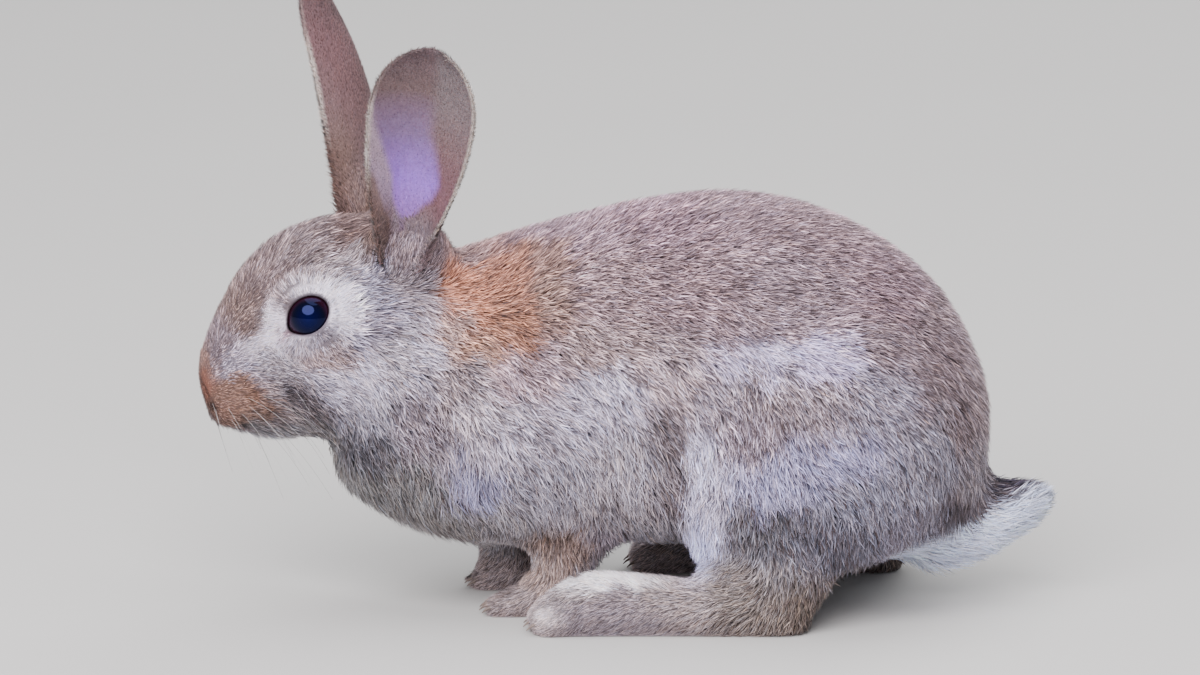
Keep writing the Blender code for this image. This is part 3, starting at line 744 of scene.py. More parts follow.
def ear_material():
    """Thin bare skin of the ear, with fine branching veins under a faint nap."""
    shader = Shader("ear_membrane")
    place = shader.object_place()
    bent = shader.node("ShaderNodeTexNoise", scale=90.0, detail=2.0, vector=place).outputs["Color"]
    shifted = shader.ordered(
        "ShaderNodeVectorMath", {"operation": "MULTIPLY_ADD"}, bent, (0.012,) * 3, place
    )
    cells = shader.node("ShaderNodeTexVoronoi", {"feature": "DISTANCE_TO_EDGE"}, scale=130.0, vector=shifted)
    vein = shader.ranged(cells, 0.9, 1.0, 0.0, 0.10)
    colour = shader.scaled(shader.attribute("skin_colour", "Color"), vein)
    nap = shader.noise(1300.0, roughness=0.65)
    return shader.finish(
        base_color=shader.scaled(colour, shader.varied(nap, 0.15)),
        roughness=0.6,
        specular_ior_level=0.3,
        subsurface_weight=0.15,
        subsurface_radius=(0.003, 0.0012, 0.0008),
        subsurface_scale=1.0,
        normal=shader.bump(nap, 0.00025, 0.5),
    )


# ---- skin of the body


class Groove(NamedTuple):
    """A crease along a few places, with its width, its depth and how much painted shade darkens the skin in
    it.
    """

    places: tuple
    width: float
    depth: float
    dark: float = 0.0


FACE_GROOVES = [
    # Slit of the nostril, the cleft under the nose, and the line of the mouth, each darkened with painted
    # shade.
    Groove(((-118.6, 3, 70.5), (-116.6, 6.6, 68.8), (-113.8, 8.6, 65.8), (-112, 9.6, 63.4)), 0.8, 1.1, 0.9),
    Groove(((-119.5, 0, 68), (-117, 0, 62), (-112, 0, 57.5)), 0.8, 1.4, 0.7),
    Groove(((-112.5, 0, 58.5), (-109, 5, 57.2), (-104, 9.5, 57.6), (-98, 13, 60)), 0.7, 1.2, 0.8),
]


class Toes(NamedTuple):
    """A foot's middle across the body, and the distance from toe to toe."""

    middle: float
    spacing: float


HIND_TOES = Toes(38.0, 4.2)
FORE_TOES = Toes(16.0, 3.3)


def toe_grooves(toes, stops, width, depth, dark):
    """The three grooves between a foot's toes, along stops that give x, z and how far they are spread."""
    return [
        Groove(tuple((x, toes.middle + spread * gap, z) for x, z, spread in stops), width, depth, dark)
        for gap in (-toes.spacing, 0.0, toes.spacing)
    ]


# The toe grooves are darkened with painted shade.
TOE_GROOVES = [
    *toe_grooves(HIND_TOES, ((-22, 9, 1.0), (-14, 13, 1.0), (-3, 17.5, 0.8)), 1.4, 2.6, 0.6),
    # Over the outermost toe, along the side of the hind foot.
    Groove(((-21, 45, 9.5), (-13, 46.5, 13.5), (-2, 48, 13), (10, 48.5, 12)), 1.4, 2.2, 0.5),
    *toe_grooves(FORE_TOES, ((-34, 5, 1.0), (-28, 8, 1.0), (-21, 11.5, 0.8)), 1.1, 1.5, 0.5),
]
# Broad hollows between the masses of the body.
FORM_CREASES = [
    # Between flank and thigh, from the belly up and over towards the back.
    Groove(((25, 44, 30), (24, 46, 46), (28, 47, 62), (38, 46, 78), (52, 44, 92)), 4.5, 2.2),
    # Between the knee and the rest of the thigh.
    Groove(((40, 52, 34), (52, 53, 26), (68, 50, 22)), 4.0, 1.2),
    # Behind the shoulder and the elbow.
    Groove(((2, 40, 58), (2, 36, 42), (6, 30, 28)), 4.5, 1.4),
    # Between chest and upper arm.
    Groove(((-44, 32, 62), (-40, 30, 44), (-30, 26, 30)), 4.5, 1.5),
    # Under the jowl, from the ear's root down to the throat.
    Groove(((-46, 24, 98), (-46, 28, 80), (-54, 26, 66), (-66, 20, 57)), 4.0, 1.6),
    # Hollow of the lore, ahead of the eye.
    Groove(((-96, 18, 90), (-102, 15, 82)), 3.0, 0.6),
    # Above the root of the tail.
    Groove(((104, 10, 34), (112, 2, 44)), 4.0, 1.5),
    # Between the heel and the thigh's hanging fur.
    Groove(((40, 50, 19), (52, 50, 18), (64, 46, 16)), 2.5, 1.2),
]
# Height of the floor, and of the skin over it.
FLOOR_LEVEL = 2.0
SOLE_LEVEL = FLOOR_LEVEL + 0.3
# Skin this low before the coat's depth is taken off belongs to a sole.
SOLE_TOP = FLOOR_LEVEL + 1.2
# The skin's faces are halved in each of these boxes: lowest and highest places of face, muzzle and feet.
FINER_BOXES = [
    ((-200, -1, 46), (-92, 100, 200)),
    ((-200, -1, 50), (-96, 100, 82)),
    ((-200, 4, -100), (30, 100, 17)),
]
# Steps in which the skin is drawn in by the coat's depth.
DRAW_IN_STEPS = 4


def near_groove(place, groove):
    """How close folded places lie to a groove's line, from 1 on it down to 0 beyond its width."""
    nearest = np.full(len(place), 1e9)
    for start, end in zip(groove.places, groove.places[1:]):
        start, run = np.array(start, dtype=float), np.array(end, dtype=float) - np.array(start)
        along = np.clip(((place - start) @ run) / (run @ run), 0.0, 1.0)
        gap = np.linalg.norm(place - start - along[:, None] * run, axis=1)
        nearest = np.minimum(nearest, gap)
    return np.exp(-((nearest / groove.width) ** 2))


def joined_flesh(grow):
    """One mesh of every flesh node, each grown a little so that they run together."""
    joined = bmesh.new()
    for name in FLESH_NODES:
        part = bmesh.new()
        part.from_mesh(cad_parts[name].data)
        bmesh.ops.remove_doubles(part, verts=part.verts, dist=1e-6)
        part.normal_update()
        for vert in part.verts:
            vert.co += vert.normal * grow
        mesh = bpy.data.meshes.new("flesh_part")
        part.to_mesh(mesh)
        part.free()
        joined.from_mesh(mesh)
        bpy.data.meshes.remove(mesh)
    mesh = bpy.data.meshes.new("flesh_forms")
    joined.to_mesh(mesh)
    joined.free()
    return mesh


def largest_shell(bm):
    """Deletes all but the largest connected shell of the bmesh."""
    bm.verts.ensure_lookup_table()
    seen = [False] * len(bm.verts)
    shells = []
    for vert in bm.verts:
        if seen[vert.index]:
            continue
        seen[vert.index] = True
        shell = [vert]
        for current in shell:
            for edge in current.link_edges:
                other = edge.other_vert(current)
                if not seen[other.index]:
                    seen[other.index] = True
                    shell.append(other)
        shells.append(shell)
    shells.sort(key=len)
    for shell in shells[:-1]:
        bmesh.ops.delete(bm, geom=shell, context="VERTS")


def refine(bm, low, high):
    """Cuts each edge in half whose middle is in a box, and triangulates the result."""
    middles = np.array([(e.verts[0].co + e.verts[1].co) / 2 for e in bm.edges])
    place = folded(to_body(middles), 0.0)
    chosen = ((place > low) & (place < high)).all(axis=1)
    edges = [edge for edge, take in zip(bm.edges, chosen) if take]
    bmesh.ops.subdivide_edges(bm, edges=edges, cuts=1, use_grid_fill=True)
    bmesh.ops.triangulate(bm, faces=bm.faces)


def fused_flesh(settings):
    """The flesh as one closed surface: its points and its triangles."""
    forms = linked("flesh_forms", joined_flesh(settings.join_growth))
    remesh = forms.modifiers.new("one_surface", "REMESH")
    remesh.mode = "VOXEL"
    remesh.voxel_size = settings.grain
    mesh = evaluated_mesh(forms)
    bpy.data.objects.remove(forms)
    bm = bmesh.new()
    bm.from_mesh(mesh)
    largest_shell(bm)
    bmesh.ops.triangulate(bm, faces=bm.faces)
    for low, high in FINER_BOXES:
        refine(bm, low, high)
    bm.to_mesh(mesh)
    bm.free()
    return to_body(mesh_points(mesh)), mesh_triangles(mesh)


def nearest_nodes(points):
    """The number of the flesh node that each of some points is nearest to."""
    corners, faces, owner = [], [], []
    for index, name in enumerate(FLESH_NODES):
        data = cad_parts[name].data
        base = len(corners)
        corners.extend(vert.co.copy() for vert in data.vertices)
        faces.extend([base + i for i in polygon.vertices] for polygon in data.polygons)
        owner.extend([index] * len(data.polygons))
    tree = BVHTree.FromPolygons(corners, faces)
    return np.array([owner[tree.find_nearest(Vector(p))[2]] for p in to_frame(points)])


def smoothed(points, pairs, rounds):
    """Points with their facets taken away, each round drawn in and let out again so that nothing shrinks."""
    for _ in range(rounds):
        points = relaxed(points, pairs, 0.5, 1)
        points = relaxed(points, pairs, -0.52, 1)
    return points


def shaped_skin(settings):
    """The body's skin, drawn in by the coat's depth and creased: its points, its triangles, each point's node
    and stagger, and how dark its grooves' painted shade is."""
    points, tris = fused_flesh(settings)
    pairs = edge_pairs(tris)
    points = smoothed(points, pairs, settings.smoothing)
    owner = nearest_nodes(points)
    stagger = np.array([STAGGER.get(name, 0.0) for name in FLESH_NODES])[owner]
    stagger = relaxed(stagger, pairs, 0.7, 24)
    depth = coat_lie(folded(points, stagger), sides_of(points))[2]
    points = relaxed(points, pairs, 0.5 * smooth_step(1.6, 4.0, depth)[:, None], 12)
    depth = relaxed(depth, pairs, 0.6, 6)
    place, normals = folded(points, stagger), point_normals(points, tris)
    for crease in FORM_CREASES:
        points = points - normals * (near_groove(place, crease) * crease.depth)[:, None]
    sole = points[:, 2] < SOLE_TOP
    for _ in range(DRAW_IN_STEPS):
        normals = relaxed(point_normals(points, tris), pairs, 0.5, 3)
        points = points - unit(normals) * (depth / DRAW_IN_STEPS)[:, None]
        points = relaxed(points, pairs, 0.35 * smooth_step(0.8, 3.0, depth)[:, None], 2)
    points[sole, 2] = np.minimum(points[sole, 2], SOLE_LEVEL)
    points[:, 2] = np.maximum(points[:, 2], SOLE_LEVEL)
    place, normals = folded(points, stagger), point_normals(points, tris)
    # How dark each point is with the grooves' painted shade, as the grooves sink the skin.
    dark = np.zeros(len(points))
    for groove in FACE_GROOVES + TOE_GROOVES:
        share = near_groove(place, groove)
        points = points - normals * (share * groove.depth)[:, None]
        dark = np.maximum(dark, share * groove.dark)
    return points, tris, owner, stagger, dark


# Distances from the eye's centre, and strengths of the grooves' painted shade, between which the fur begins
# and ends.
BARE_ROUND_EYE = (9.2, 10.4)
BARE_GROOVE = (0.35, 0.8)
# Hairs run away from the eye up to the first distance, and as the chart says from the second.
EYE_SWIRL = (10.0, 17.0)
# How much closer the tail's tufts stand, and how much thinner those under the belly.
TAIL_EXTRA = 0.8
BELLY_THINNING = 0.45


def body_fields(points, tris, stagger, dark):
    """What the coat needs to know at each point of the body's skin."""
    side, place = sides_of(points), folded(points, stagger)
    downwards = -point_normals(points, tris)[:, 2]
    lie, length, depth, loose = coat_lie(place, side)
    lie, length = round_the_eye(place, side, lie, length)
    tint, ticks = coat_tint(place)
    bare = 1.0 - smooth_step(*BARE_ROUND_EYE, np.linalg.norm(place - EYE_CENTRE, axis=1))
    bare = np.maximum(bare, smooth_step(*BARE_GROOVE, dark))
    density = coat_density(length) * (1.0 - bare)
    on_tail = smooth_step(102.0, 112.0, place[:, 0]) * smooth_step(52.0, 44.0, place[:, 2])
    density *= 1.0 + TAIL_EXTRA * on_tail
    sole = smooth_step(0.55, 0.85, downwards) * (1.0 - smooth_step(3.0, 5.0, place[:, 2]))
    density *= 1.0 - BELLY_THINNING * smooth_step(0.4, 0.8, downwards)
    # Painted shade in the grooves.
    tint = tint * (1.0 - 0.8 * dark)[:, None]
    return Fields(lie, length, depth, density * (1.0 - sole), tint, ticks, loose)


class Fields(NamedTuple):
    """For each skin point: the coat's direction, length, depth, tufts per square millimetre, colour, share of
    dark tips and looseness."""

    lie: np.ndarray
    length: np.ndarray
    depth: np.ndarray
    density: np.ndarray
    tint: np.ndarray
    ticks: np.ndarray
    loose: np.ndarray


# The kinds of attribute that keep the fields on the skin, where they aren't plain numbers.
FIELD_KINDS = {"lie": "FLOAT_VECTOR", "tint": "FLOAT_COLOR"}


def coat_density(length):
    """Tufts in a square millimetre: short hairs stand closer."""
    return 3.4 * (8.0 / np.maximum(length, 1.2)) ** 0.35


def round_the_eye(place, side, lie, length):
    """Turns the hairs close to the eye so that they run away from it, and shortens them."""
    away = place - EYE_CENTRE
    gap = np.linalg.norm(away, axis=1)
    away[:, 1] *= side
    share = (1.0 - smooth_step(*EYE_SWIRL, gap))[:, None] * 0.85
    return unit(blended(lie, unit(away), share)), length * (1.0 - 0.62 * share[:, 0])


# ---- lids


LID_POINTS_ROUND = 112
LID_HALF_WIDTH = 6.5
LID_HALF_HEIGHT = 5.35
# The turn of the opening's long axis, and how far and how broadly its end is drawn out to the tear corner.
LID_TILT = math.radians(36.0)
TEAR_CORNER_REACH = 0.13
TEAR_CORNER_BREADTH = 0.30
# Steps outwards over the lid: millimetres out from the opening and up from the globe. The first two tuck
# under it, those up to the rim's reach are its edge, and the rest dip down to the face.
LID_PROFILE = [
    (0.9, -0.35), (0.25, -0.05), (0.0, 0.15), (0.0, 0.45), (0.3, 0.70), (0.8, 0.80), (1.5, 0.85),
    (2.4, 0.80), (3.4, 0.70), (4.6, 0.6), (5.8, 0.5), (7.0, 0.4), (8.2, 0.0), (9.0, -0.8),
]
LID_RIM_REACH = 1.0
LID_BARE_STEPS = 4
# The furthest from the globe's axis that its height is taken.
GLOBE_REACH = 7.7
LID_RIM_TINT = (70, 54, 60)
# The pale rim's colour: partly its own pale skin, partly a painted wet highlight.
LID_PALE_RIM_AND_GLINT_TINT = (178, 164, 184)
LASH_TINT = (104, 94, 110)
# Where the lower lid's rim shows pale, partly its own pale skin and partly a painted wet highlight, as an
# angle from forwards round by the top.
LID_PALE_RIM = math.radians(228.0)
# How far out of the head the skin is looked for, and its height where none is found.
SKIN_SEARCH = 30.0
SKIN_UNFOUND = 2.0


def eye_axes(side):
    """The outward, forward and upward directions of the eye's opening."""
    outward = unit(mirrored(EYE_OPENING_FACES, side))
    forward = np.array((-1.0, 0.0, 0.0))
    forward = unit(forward - outward * (forward @ outward))
    upward = np.cross(outward, forward) * side
    return outward, forward, upward


def lid_opening(angle):
    """The opening's half width at an angle from forwards round by the top, an oval with a tear corner."""
    turn = (angle + LID_TILT + math.pi) % math.tau - math.pi
    oval = LID_HALF_WIDTH * LID_HALF_HEIGHT / np.hypot(
        LID_HALF_HEIGHT * math.cos(turn), LID_HALF_WIDTH * math.sin(turn)
    )
    return oval * (1.0 + TEAR_CORNER_REACH * math.exp(-((turn / TEAR_CORNER_BREADTH) ** 2)))


def globe_height(reach):
    """How far the globe stands out at a distance from its axis."""
    return math.sqrt(EYE_RADIUS**2 - min(reach, GLOBE_REACH) ** 2)


def lid_ring(side, skin_tree):
    """The lids of one eye as a ring of skin that rises from the globe and dips under the face."""
    outward, forward, upward = eye_axes(side)
    centre = mirrored(EYE_CENTRE, side)
    points = []
    for out, rise in LID_PROFILE:
        for i in range(LID_POINTS_ROUND):
            angle = math.tau * i / LID_POINTS_ROUND
            opening = lid_opening(angle)
            across = (forward * math.cos(angle) + upward * math.sin(angle)) * (opening + out)
            on_rim = out <= LID_RIM_REACH
            height = globe_height(opening + out if on_rim and rise < 0 else opening) + rise
            if not on_rim:
                ground = skin_height(skin_tree, centre, across, outward)
                height = blended(height, ground + rise * 0.6, float(smooth_step(LID_RIM_REACH, 6.5, out)))
            points.append(centre + across + outward * height)
    return np.array(points), np.array(tube_faces(len(LID_PROFILE), LID_POINTS_ROUND, side > 0))


def skin_height(tree, centre, across, outward):
    """How far the skin stands out from the eye's centre along its axis, at an offset across it."""
    start = centre + across + outward * SKIN_SEARCH
    hit = tree.ray_cast(Vector(start), Vector(-outward), 2.0 * SKIN_SEARCH)
    return SKIN_SEARCH - hit[3] if hit[0] is not None else SKIN_UNFOUND


def lid_fields(points, side):
    """The coat on the lids: a bare rim, dark but for its pale rear below, partly pale skin and partly a
    painted wet highlight, then short hairs round it.
    """
    outward, _, _ = eye_axes(side)
    away = points - mirrored(EYE_CENTRE, side)
    away = away - (away @ outward)[:, None] * outward
    step = np.repeat(np.arange(len(LID_PROFILE)), LID_POINTS_ROUND)
    out = np.array([out for out, _ in LID_PROFILE])[step]
    angle = np.tile(math.tau * np.arange(LID_POINTS_ROUND) / LID_POINTS_ROUND, len(LID_PROFILE))
    place = folded(points, 0.0)
    lie, length, _, loose = coat_lie(place, np.full(len(points), side))
    lie = unit(blended(lie, unit(away), (1.0 - smooth_step(4.0, 9.0, out))[:, None] * 0.9))
    length = np.minimum(length, 1.6 + 0.45 * out)
    tint, ticks = coat_tint(place)
    below = smooth_step(0.35, 0.80, np.cos(angle - LID_PALE_RIM))[:, None]
    lashes = (smooth_step(1.9, 0.6, out) * smooth_step(0.1, 0.7, np.sin(angle)))[:, None] * 0.6
    rim = (1.0 - smooth_step(0.1, 0.5, out))[:, None]
    tint = blended(tint, linear(LASH_TINT), lashes)
    tint = blended(tint, blended(linear(LID_RIM_TINT), linear(LID_PALE_RIM_AND_GLINT_TINT), below), rim)
    bare = (out < 0.7) | (step < LID_BARE_STEPS)
    density = np.where(bare, 0.0, coat_density(length) * 1.2) * (1.0 - smooth_step(6.0, 8.0, out))
    return Fields(lie, length, 0.34 * length, density, tint, ticks * 0.3, loose)


# ---- ears


class EarPose(NamedTuple):
    """Degrees that an ear leans out and back, millimetres that its tip sweeps forwards, and degrees that it
    opens forwards."""

    lean_out: float
    lean_back: float
    sweep: float
    opening: float


EAR_LENGTH = 85.0
EAR_HALF_BREADTH = 18.5
# Where along it an ear is broadest, how broad its root is against that, and how blunt its tip is.
EAR_BROADEST = 0.56
EAR_ROOT_BREADTH = 0.80
EAR_BLUNTNESS = 3.1
# How far its margins turn in at the root and at the tip, and how fast it opens.
EAR_ROLLED = math.radians(158.0)
EAR_DISHED = math.radians(34.0)
EAR_UNROLLING = 1.75
# Millimetres by which its back bows, at its middle and towards its tip.
EAR_BOW = 3.0
EAR_TIP_BOW = 2.0
EAR_ROOT = {LEFT: (-56.5, 11.0, 105.0), RIGHT: (-63.5, 11.0, 105.0)}
EAR_POSE = {LEFT: EarPose(27.0, 6.5, 0.0, 10.0), RIGHT: EarPose(22.0, -4.0, 16.0, 66.0)}
EAR_ROWS = 84
EAR_COLUMNS = 40
# The sheet starts a little way up, inside the fur, and ends just short of its point.
EAR_ROOT_START = 0.10
EAR_TIP_END = 0.995
# Height of the ridges inside the root, in millimetres, and how closely they stand.
EAR_RIDGE = 0.45
EAR_RIDGE_TURNS = 9.0
# A short way along or across the sheet, to find its slope.
EAR_NUDGE = 1e-3


def ear_sheet(side, along, across):
    """Places on the middle of an ear's sheet, from 0 at its root to 1 at its tip and from -1 to 1 across."""
    pose = EAR_POSE[side]
    out, back, turn = (math.radians(angle) for angle in (pose.lean_out, pose.lean_back, pose.opening))
    axis = np.array((math.sin(back), math.sin(out) * math.cos(back) * side, math.cos(out) * math.cos(back)))
    facing = np.array((-math.sin(turn), math.cos(turn) * side, 0.0))
    facing = unit(facing - axis * (facing @ axis))
    sideways = np.cross(axis, facing) * side
    below = EAR_ROOT_BREADTH + (1.0 - EAR_ROOT_BREADTH) * smooth_step(0.0, EAR_BROADEST, along)
    fall = np.clip((along - EAR_BROADEST) / (1 - EAR_BROADEST), 0.0, 1.0)
    above = np.sqrt(np.maximum(1 - fall**EAR_BLUNTNESS, 0.0))
    breadth = EAR_HALF_BREADTH * np.where(along < EAR_BROADEST, below, above)
    curl = EAR_DISHED + (EAR_ROLLED - EAR_DISHED) * np.maximum(1 - along, 0.0) ** EAR_UNROLLING
    radius = np.maximum(breadth, 0.9) / curl
    angle = curl * across
    spine = mirrored(EAR_ROOT[side], side) + axis * (EAR_LENGTH * along)[..., None]
    spine = spine - facing * (EAR_BOW * np.sin(math.pi * along) + EAR_TIP_BOW * along)[..., None]
    spine = spine - np.array((1.0, 0.0, 0.0)) * (pose.sweep * along**2)[..., None]
    inwards = facing * (radius * (1 - np.cos(angle)))[..., None]
    return spine + inwards + sideways * (radius * np.sin(angle))[..., None]


def ear_slopes(side, along, across):
    """The directions up an ear's sheet and over it from rear to front."""
    up = ear_sheet(side, along + EAR_NUDGE, across) - ear_sheet(side, along - EAR_NUDGE, across)
    over = ear_sheet(side, along, across + EAR_NUDGE) - ear_sheet(side, along, across - EAR_NUDGE)
    return up, over


def ear_skin(side, settings):
    """One ear as a thin closed shell: its points, triangles, and where each point is on the ear."""
    rows = 1 - (1 - np.linspace(EAR_ROOT_START, 1.0, EAR_ROWS)) ** 1.15
    rows = rows * (EAR_TIP_END / rows[-1])
    outer = np.linspace(-1.0, 1.0, EAR_COLUMNS + 1)
    across = np.concatenate((outer, outer[-2:0:-1]))
    inside = np.concatenate((np.zeros(EAR_COLUMNS + 1), np.ones(EAR_COLUMNS - 1)))
    along, across = np.meshgrid(rows, across, indexing="ij")
    inside = np.broadcast_to(inside, along.shape)
    up, over = ear_slopes(side, along, across)
    inwards = unit(np.cross(up, over)) * -side
    thick = settings.ear_thickness / MM * (1.0 + 0.5 * (1.0 - along) ** 2)
    half = 0.5 * thick * np.sqrt(np.maximum(1.0 - np.abs(across) ** 5, 0.0))
    tip_taper = np.sqrt(np.clip((1.0 - along) / 0.02, 0.05, 1.0))
    ridges = EAR_RIDGE * np.cos(across * EAR_RIDGE_TURNS) * inside
    ridges = ridges * smooth_step(0.7, 0.1, along) * (1.0 - np.abs(across) ** 4)
    lift = np.where(inside > 0, 1.0, -1.0) * half * tip_taper + ridges
    points = (ear_sheet(side, along, across) + inwards * lift[..., None]).reshape(-1, 3)
    tris = tube_faces(EAR_ROWS, 2 * EAR_COLUMNS, side < 0) + ear_ends(2 * EAR_COLUMNS, side)
    return points, facing_out(points, np.array(tris)), along.ravel(), across.ravel(), inside.ravel()


def ear_ends(count, side):
    """Triangles that close the first and the last row of an ear, from its outside over to its inside."""
    tris = []
    for row, turned in ((0, side < 0), (EAR_ROWS - 1, side > 0)):
        base = row * count
        for i in range(1, EAR_COLUMNS):
            a, b = base + i, base + i + 1
            d, c = base + (count - i + 1) % count, base + count - i
            for tri in ((a, b, d), (b, c, d)):
                if len(set(tri)) == 3:
                    tris.append(tri if turned else tri[::-1])
    return tris


# Colours along an ear from root to tip, and of its parts.
EAR_INSIDE_TINTS = [
    (126, 94, 134), (156, 112, 190), (149, 105, 206), (118, 94, 134), (106, 87, 88), (94, 77, 82)
]
EAR_OUTSIDE_TINTS = [(116, 100, 103), (92, 78, 80), (101, 78, 79), (105, 77, 80), (78, 57, 60)]
EAR_REAR_FUR = [(126, 109, 107), (126, 90, 83), (121, 91, 89), (122, 107, 110), (110, 100, 103)]
EAR_FRONT_FUR = (168, 148, 160)
# The front stripe outside and the dark fur before the ear are partly dark fur and partly painted shade
# between the ears.
EAR_FRONT_STRIPE_AND_SHADE = (98, 75, 68)
EAR_BEFORE_FUR_AND_SHADE = (132, 110, 104)
EAR_RIM = (197, 186, 178)
EAR_DARK_EDGE = (79, 64, 68)
# The bare flame inside an ear: how far across it reaches to the rear and to the front at some stops along.
EAR_FLAME_STOPS = (0.23, 0.26, 0.30, 0.34, 0.42, 0.62, 0.90)
EAR_FLAME_REAR = (-0.25, -0.02, 0.07, 0.22, 0.31, -0.04, 0.00)
EAR_FLAME_FRONT = (0.14, 0.24, 0.32, 0.36, 0.39, 0.72, 1.10)
# How far to the front the dark fur before the ear, partly painted shade, begins, at the same stops.
EAR_DARK_FRONT = (0.34, 0.45, 0.56, 0.63, 0.74, 1.20, 1.20)


def along_tints(colours, along):
    stops = np.linspace(0.0, 1.0, len(colours))
    table = np.array([linear(colour) for colour in colours])
    return np.stack([np.interp(along, stops, table[:, channel]) for channel in range(3)], axis=1)


def ear_inside_tint(along, across):
    """The colour inside an ear, and the shares of rear fur, front fur and the dark fur before it, which is
    partly painted shade.
    """
    fade = np.interp(along, (0.25, 0.60), (0.11, 0.18))
    borders = (EAR_FLAME_REAR, EAR_FLAME_FRONT, EAR_DARK_FRONT)
    rear_from, front_from, dark_from = (np.interp(along, EAR_FLAME_STOPS, border) for border in borders)
    rear = smooth_step(0.0, 1.0, (-across - rear_from) / (1.7 * fade))[:, None] * 0.95
    front = smooth_step(0.0, 1.0, (across - front_from) / fade)[:, None] * 0.90
    before = smooth_step(0.0, 0.14, across - dark_from)[:, None] * 0.95
    tint = blended(along_tints(EAR_INSIDE_TINTS, along), along_tints(EAR_REAR_FUR, along), rear)
    tint = blended(tint, linear(EAR_FRONT_FUR), front)
    return blended(tint, linear(EAR_BEFORE_FUR_AND_SHADE), before), rear[:, 0], front[:, 0], before[:, 0]


def ear_fields(side, points, along, across, inside):
    """The ear's coat: short and close outside, sparse inside, with a pale fringe along its margins."""
    up, over = (unit(slope) for slope in ear_slopes(side, along, across))
    margin = smooth_step(0.80, 0.98, np.abs(across))
    lie = unit(up + over * (np.sign(across) * (0.15 + 0.9 * margin * (1 - inside * 0.4)))[:, None])
    root = smooth_step(0.40, 0.16, along)
    front_fringe = margin * (across > 0) * smooth_step(0.75, 0.35, along)
    length = 1.9 + 1.8 * root * (1 - 0.2 * inside) + 0.3 * margin * inside + 0.8 * front_fringe
    inside_tint, rear, front, before = ear_inside_tint(along, across)
    # A dark stripe at the front of the root outside: partly dark fur, partly painted shade between the ears.
    stripe = smooth_step(0.35, 0.75, across) * smooth_step(0.55, 0.35, along) * 0.85
    outside_tint = blended(along_tints(EAR_OUTSIDE_TINTS, along), linear(EAR_FRONT_STRIPE_AND_SHADE), stripe[:, None])
    tint = np.where(inside[:, None] > 0, inside_tint, outside_tint)
    edge = smooth_step(0.90, 0.97, np.abs(across)) * 0.85 * smooth_step(0.16, 0.34, along)
    before_tip = smooth_step(0.36, 0.52, along) * (1 - 0.8 * smooth_step(0.70, 0.82, along))
    tint = blended(tint, linear(EAR_RIM), np.where(across > 0, edge * before_tip, edge)[:, None])
    tint = blended(tint, linear(EAR_DARK_EDGE), smooth_step(0.90, 1.0, along)[:, None] * 0.6)
    in_flame = inside * (1 - rear) * (1 - front)
    darkened = np.where(inside > 0, before, stripe)
    near_head = smooth_step(0.38, 0.17, along) * (1 - 0.95 * in_flame) * (1 - darkened)
    tint = blended(tint, coat_tint(folded(points, 0.0))[0], near_head[:, None])
    sparse = inside * (1.0 - np.maximum(rear, front)) * smooth_step(0.90, 0.62, along)
    density = 3.8 * (1.0 - 0.80 * sparse) + 3.4 * margin
    density = density * smooth_step(EAR_ROOT_START, EAR_ROOT_START + 0.05, along)
    return Fields(lie, length, 0.30 * length, density, tint, 0.12 * (1 - inside), 0.2 + 0.2 * root)


# ---- the skin as one piece


class Skin(NamedTuple):
    """The skin, or one shell of it, in body millimetres: its points and triangles, its coat and its nodes."""

    points: np.ndarray
    tris: np.ndarray
    fields: Fields
    owner: np.ndarray


# The ears' number, after those of the flesh nodes.
ON_EAR = len(FLESH_NODES)
# How dark the skin is under white fur, against the fur: painted shade deep in the coat.
WHITE_UNDERFUR = 0.8


def skin_parts(settings):
    """The shells of the skin: the body, both eyes' lids and both ears."""
    points, tris, owner, stagger, dark = shaped_skin(settings)
    yield Skin(points, tris, body_fields(points, tris, stagger, dark), owner)
    tree = BVHTree.FromPolygons([Vector(p) for p in points], tris.tolist())
    for side in SIDES.values():
        points, tris = lid_ring(side, tree)
        owner = np.full(len(points), FLESH_NODES.index("head"))
        yield Skin(points, tris, lid_fields(points, side), owner)
    for side in SIDES.values():
        points, tris, *spot = ear_skin(side, settings)
        yield Skin(points, tris, ear_fields(side, points, *spot), np.full(len(points), ON_EAR))


def build_skin(settings):
    """The whole skin: body, lids and ears in one mesh that carries what the coat grows by."""
    parts = list(skin_parts(settings))
    starts = np.cumsum([0] + [len(part.points) for part in parts])
    tris = np.concatenate([part.tris + start for part, start in zip(parts, starts)])
    fields = Fields(*(np.concatenate(values) for values in zip(*(part.fields for part in parts))))
    owner = np.concatenate([part.owner for part in parts])
    mesh = triangle_mesh("rabbit_skin", np.concatenate([part.points for part in parts]), tris)
    # The skin is darker than the coat over it: partly the slaty underfur, partly painted shade deep in the
    # coat.
    shade = blended(settings.underfur_shade, WHITE_UNDERFUR, whiteness(fields.tint))
    shade = np.where(owner == ON_EAR, 1.0, shade)
    put_attribute(mesh, "skin_colour", "FLOAT_COLOR", fields.tint * shade[:, None])
    for name, values in fields._asdict().items():
        put_attribute(mesh, "coat_" + name, FIELD_KINDS.get(name, "FLOAT"), values)
    put_attribute(mesh, "node", "INT", owner)
    mesh.materials.append(skin_material())
    mesh.materials.append(ear_material())
    mesh.polygons.foreach_set("material_index", (owner[tris[:, 0]] == ON_EAR).astype(np.int32))
    return linked("rabbit_skin", mesh)


# ---- the coat


# Where the trunk's coat is divided into shoulders and loins.
TRUNK_MIDDLE = 20.0


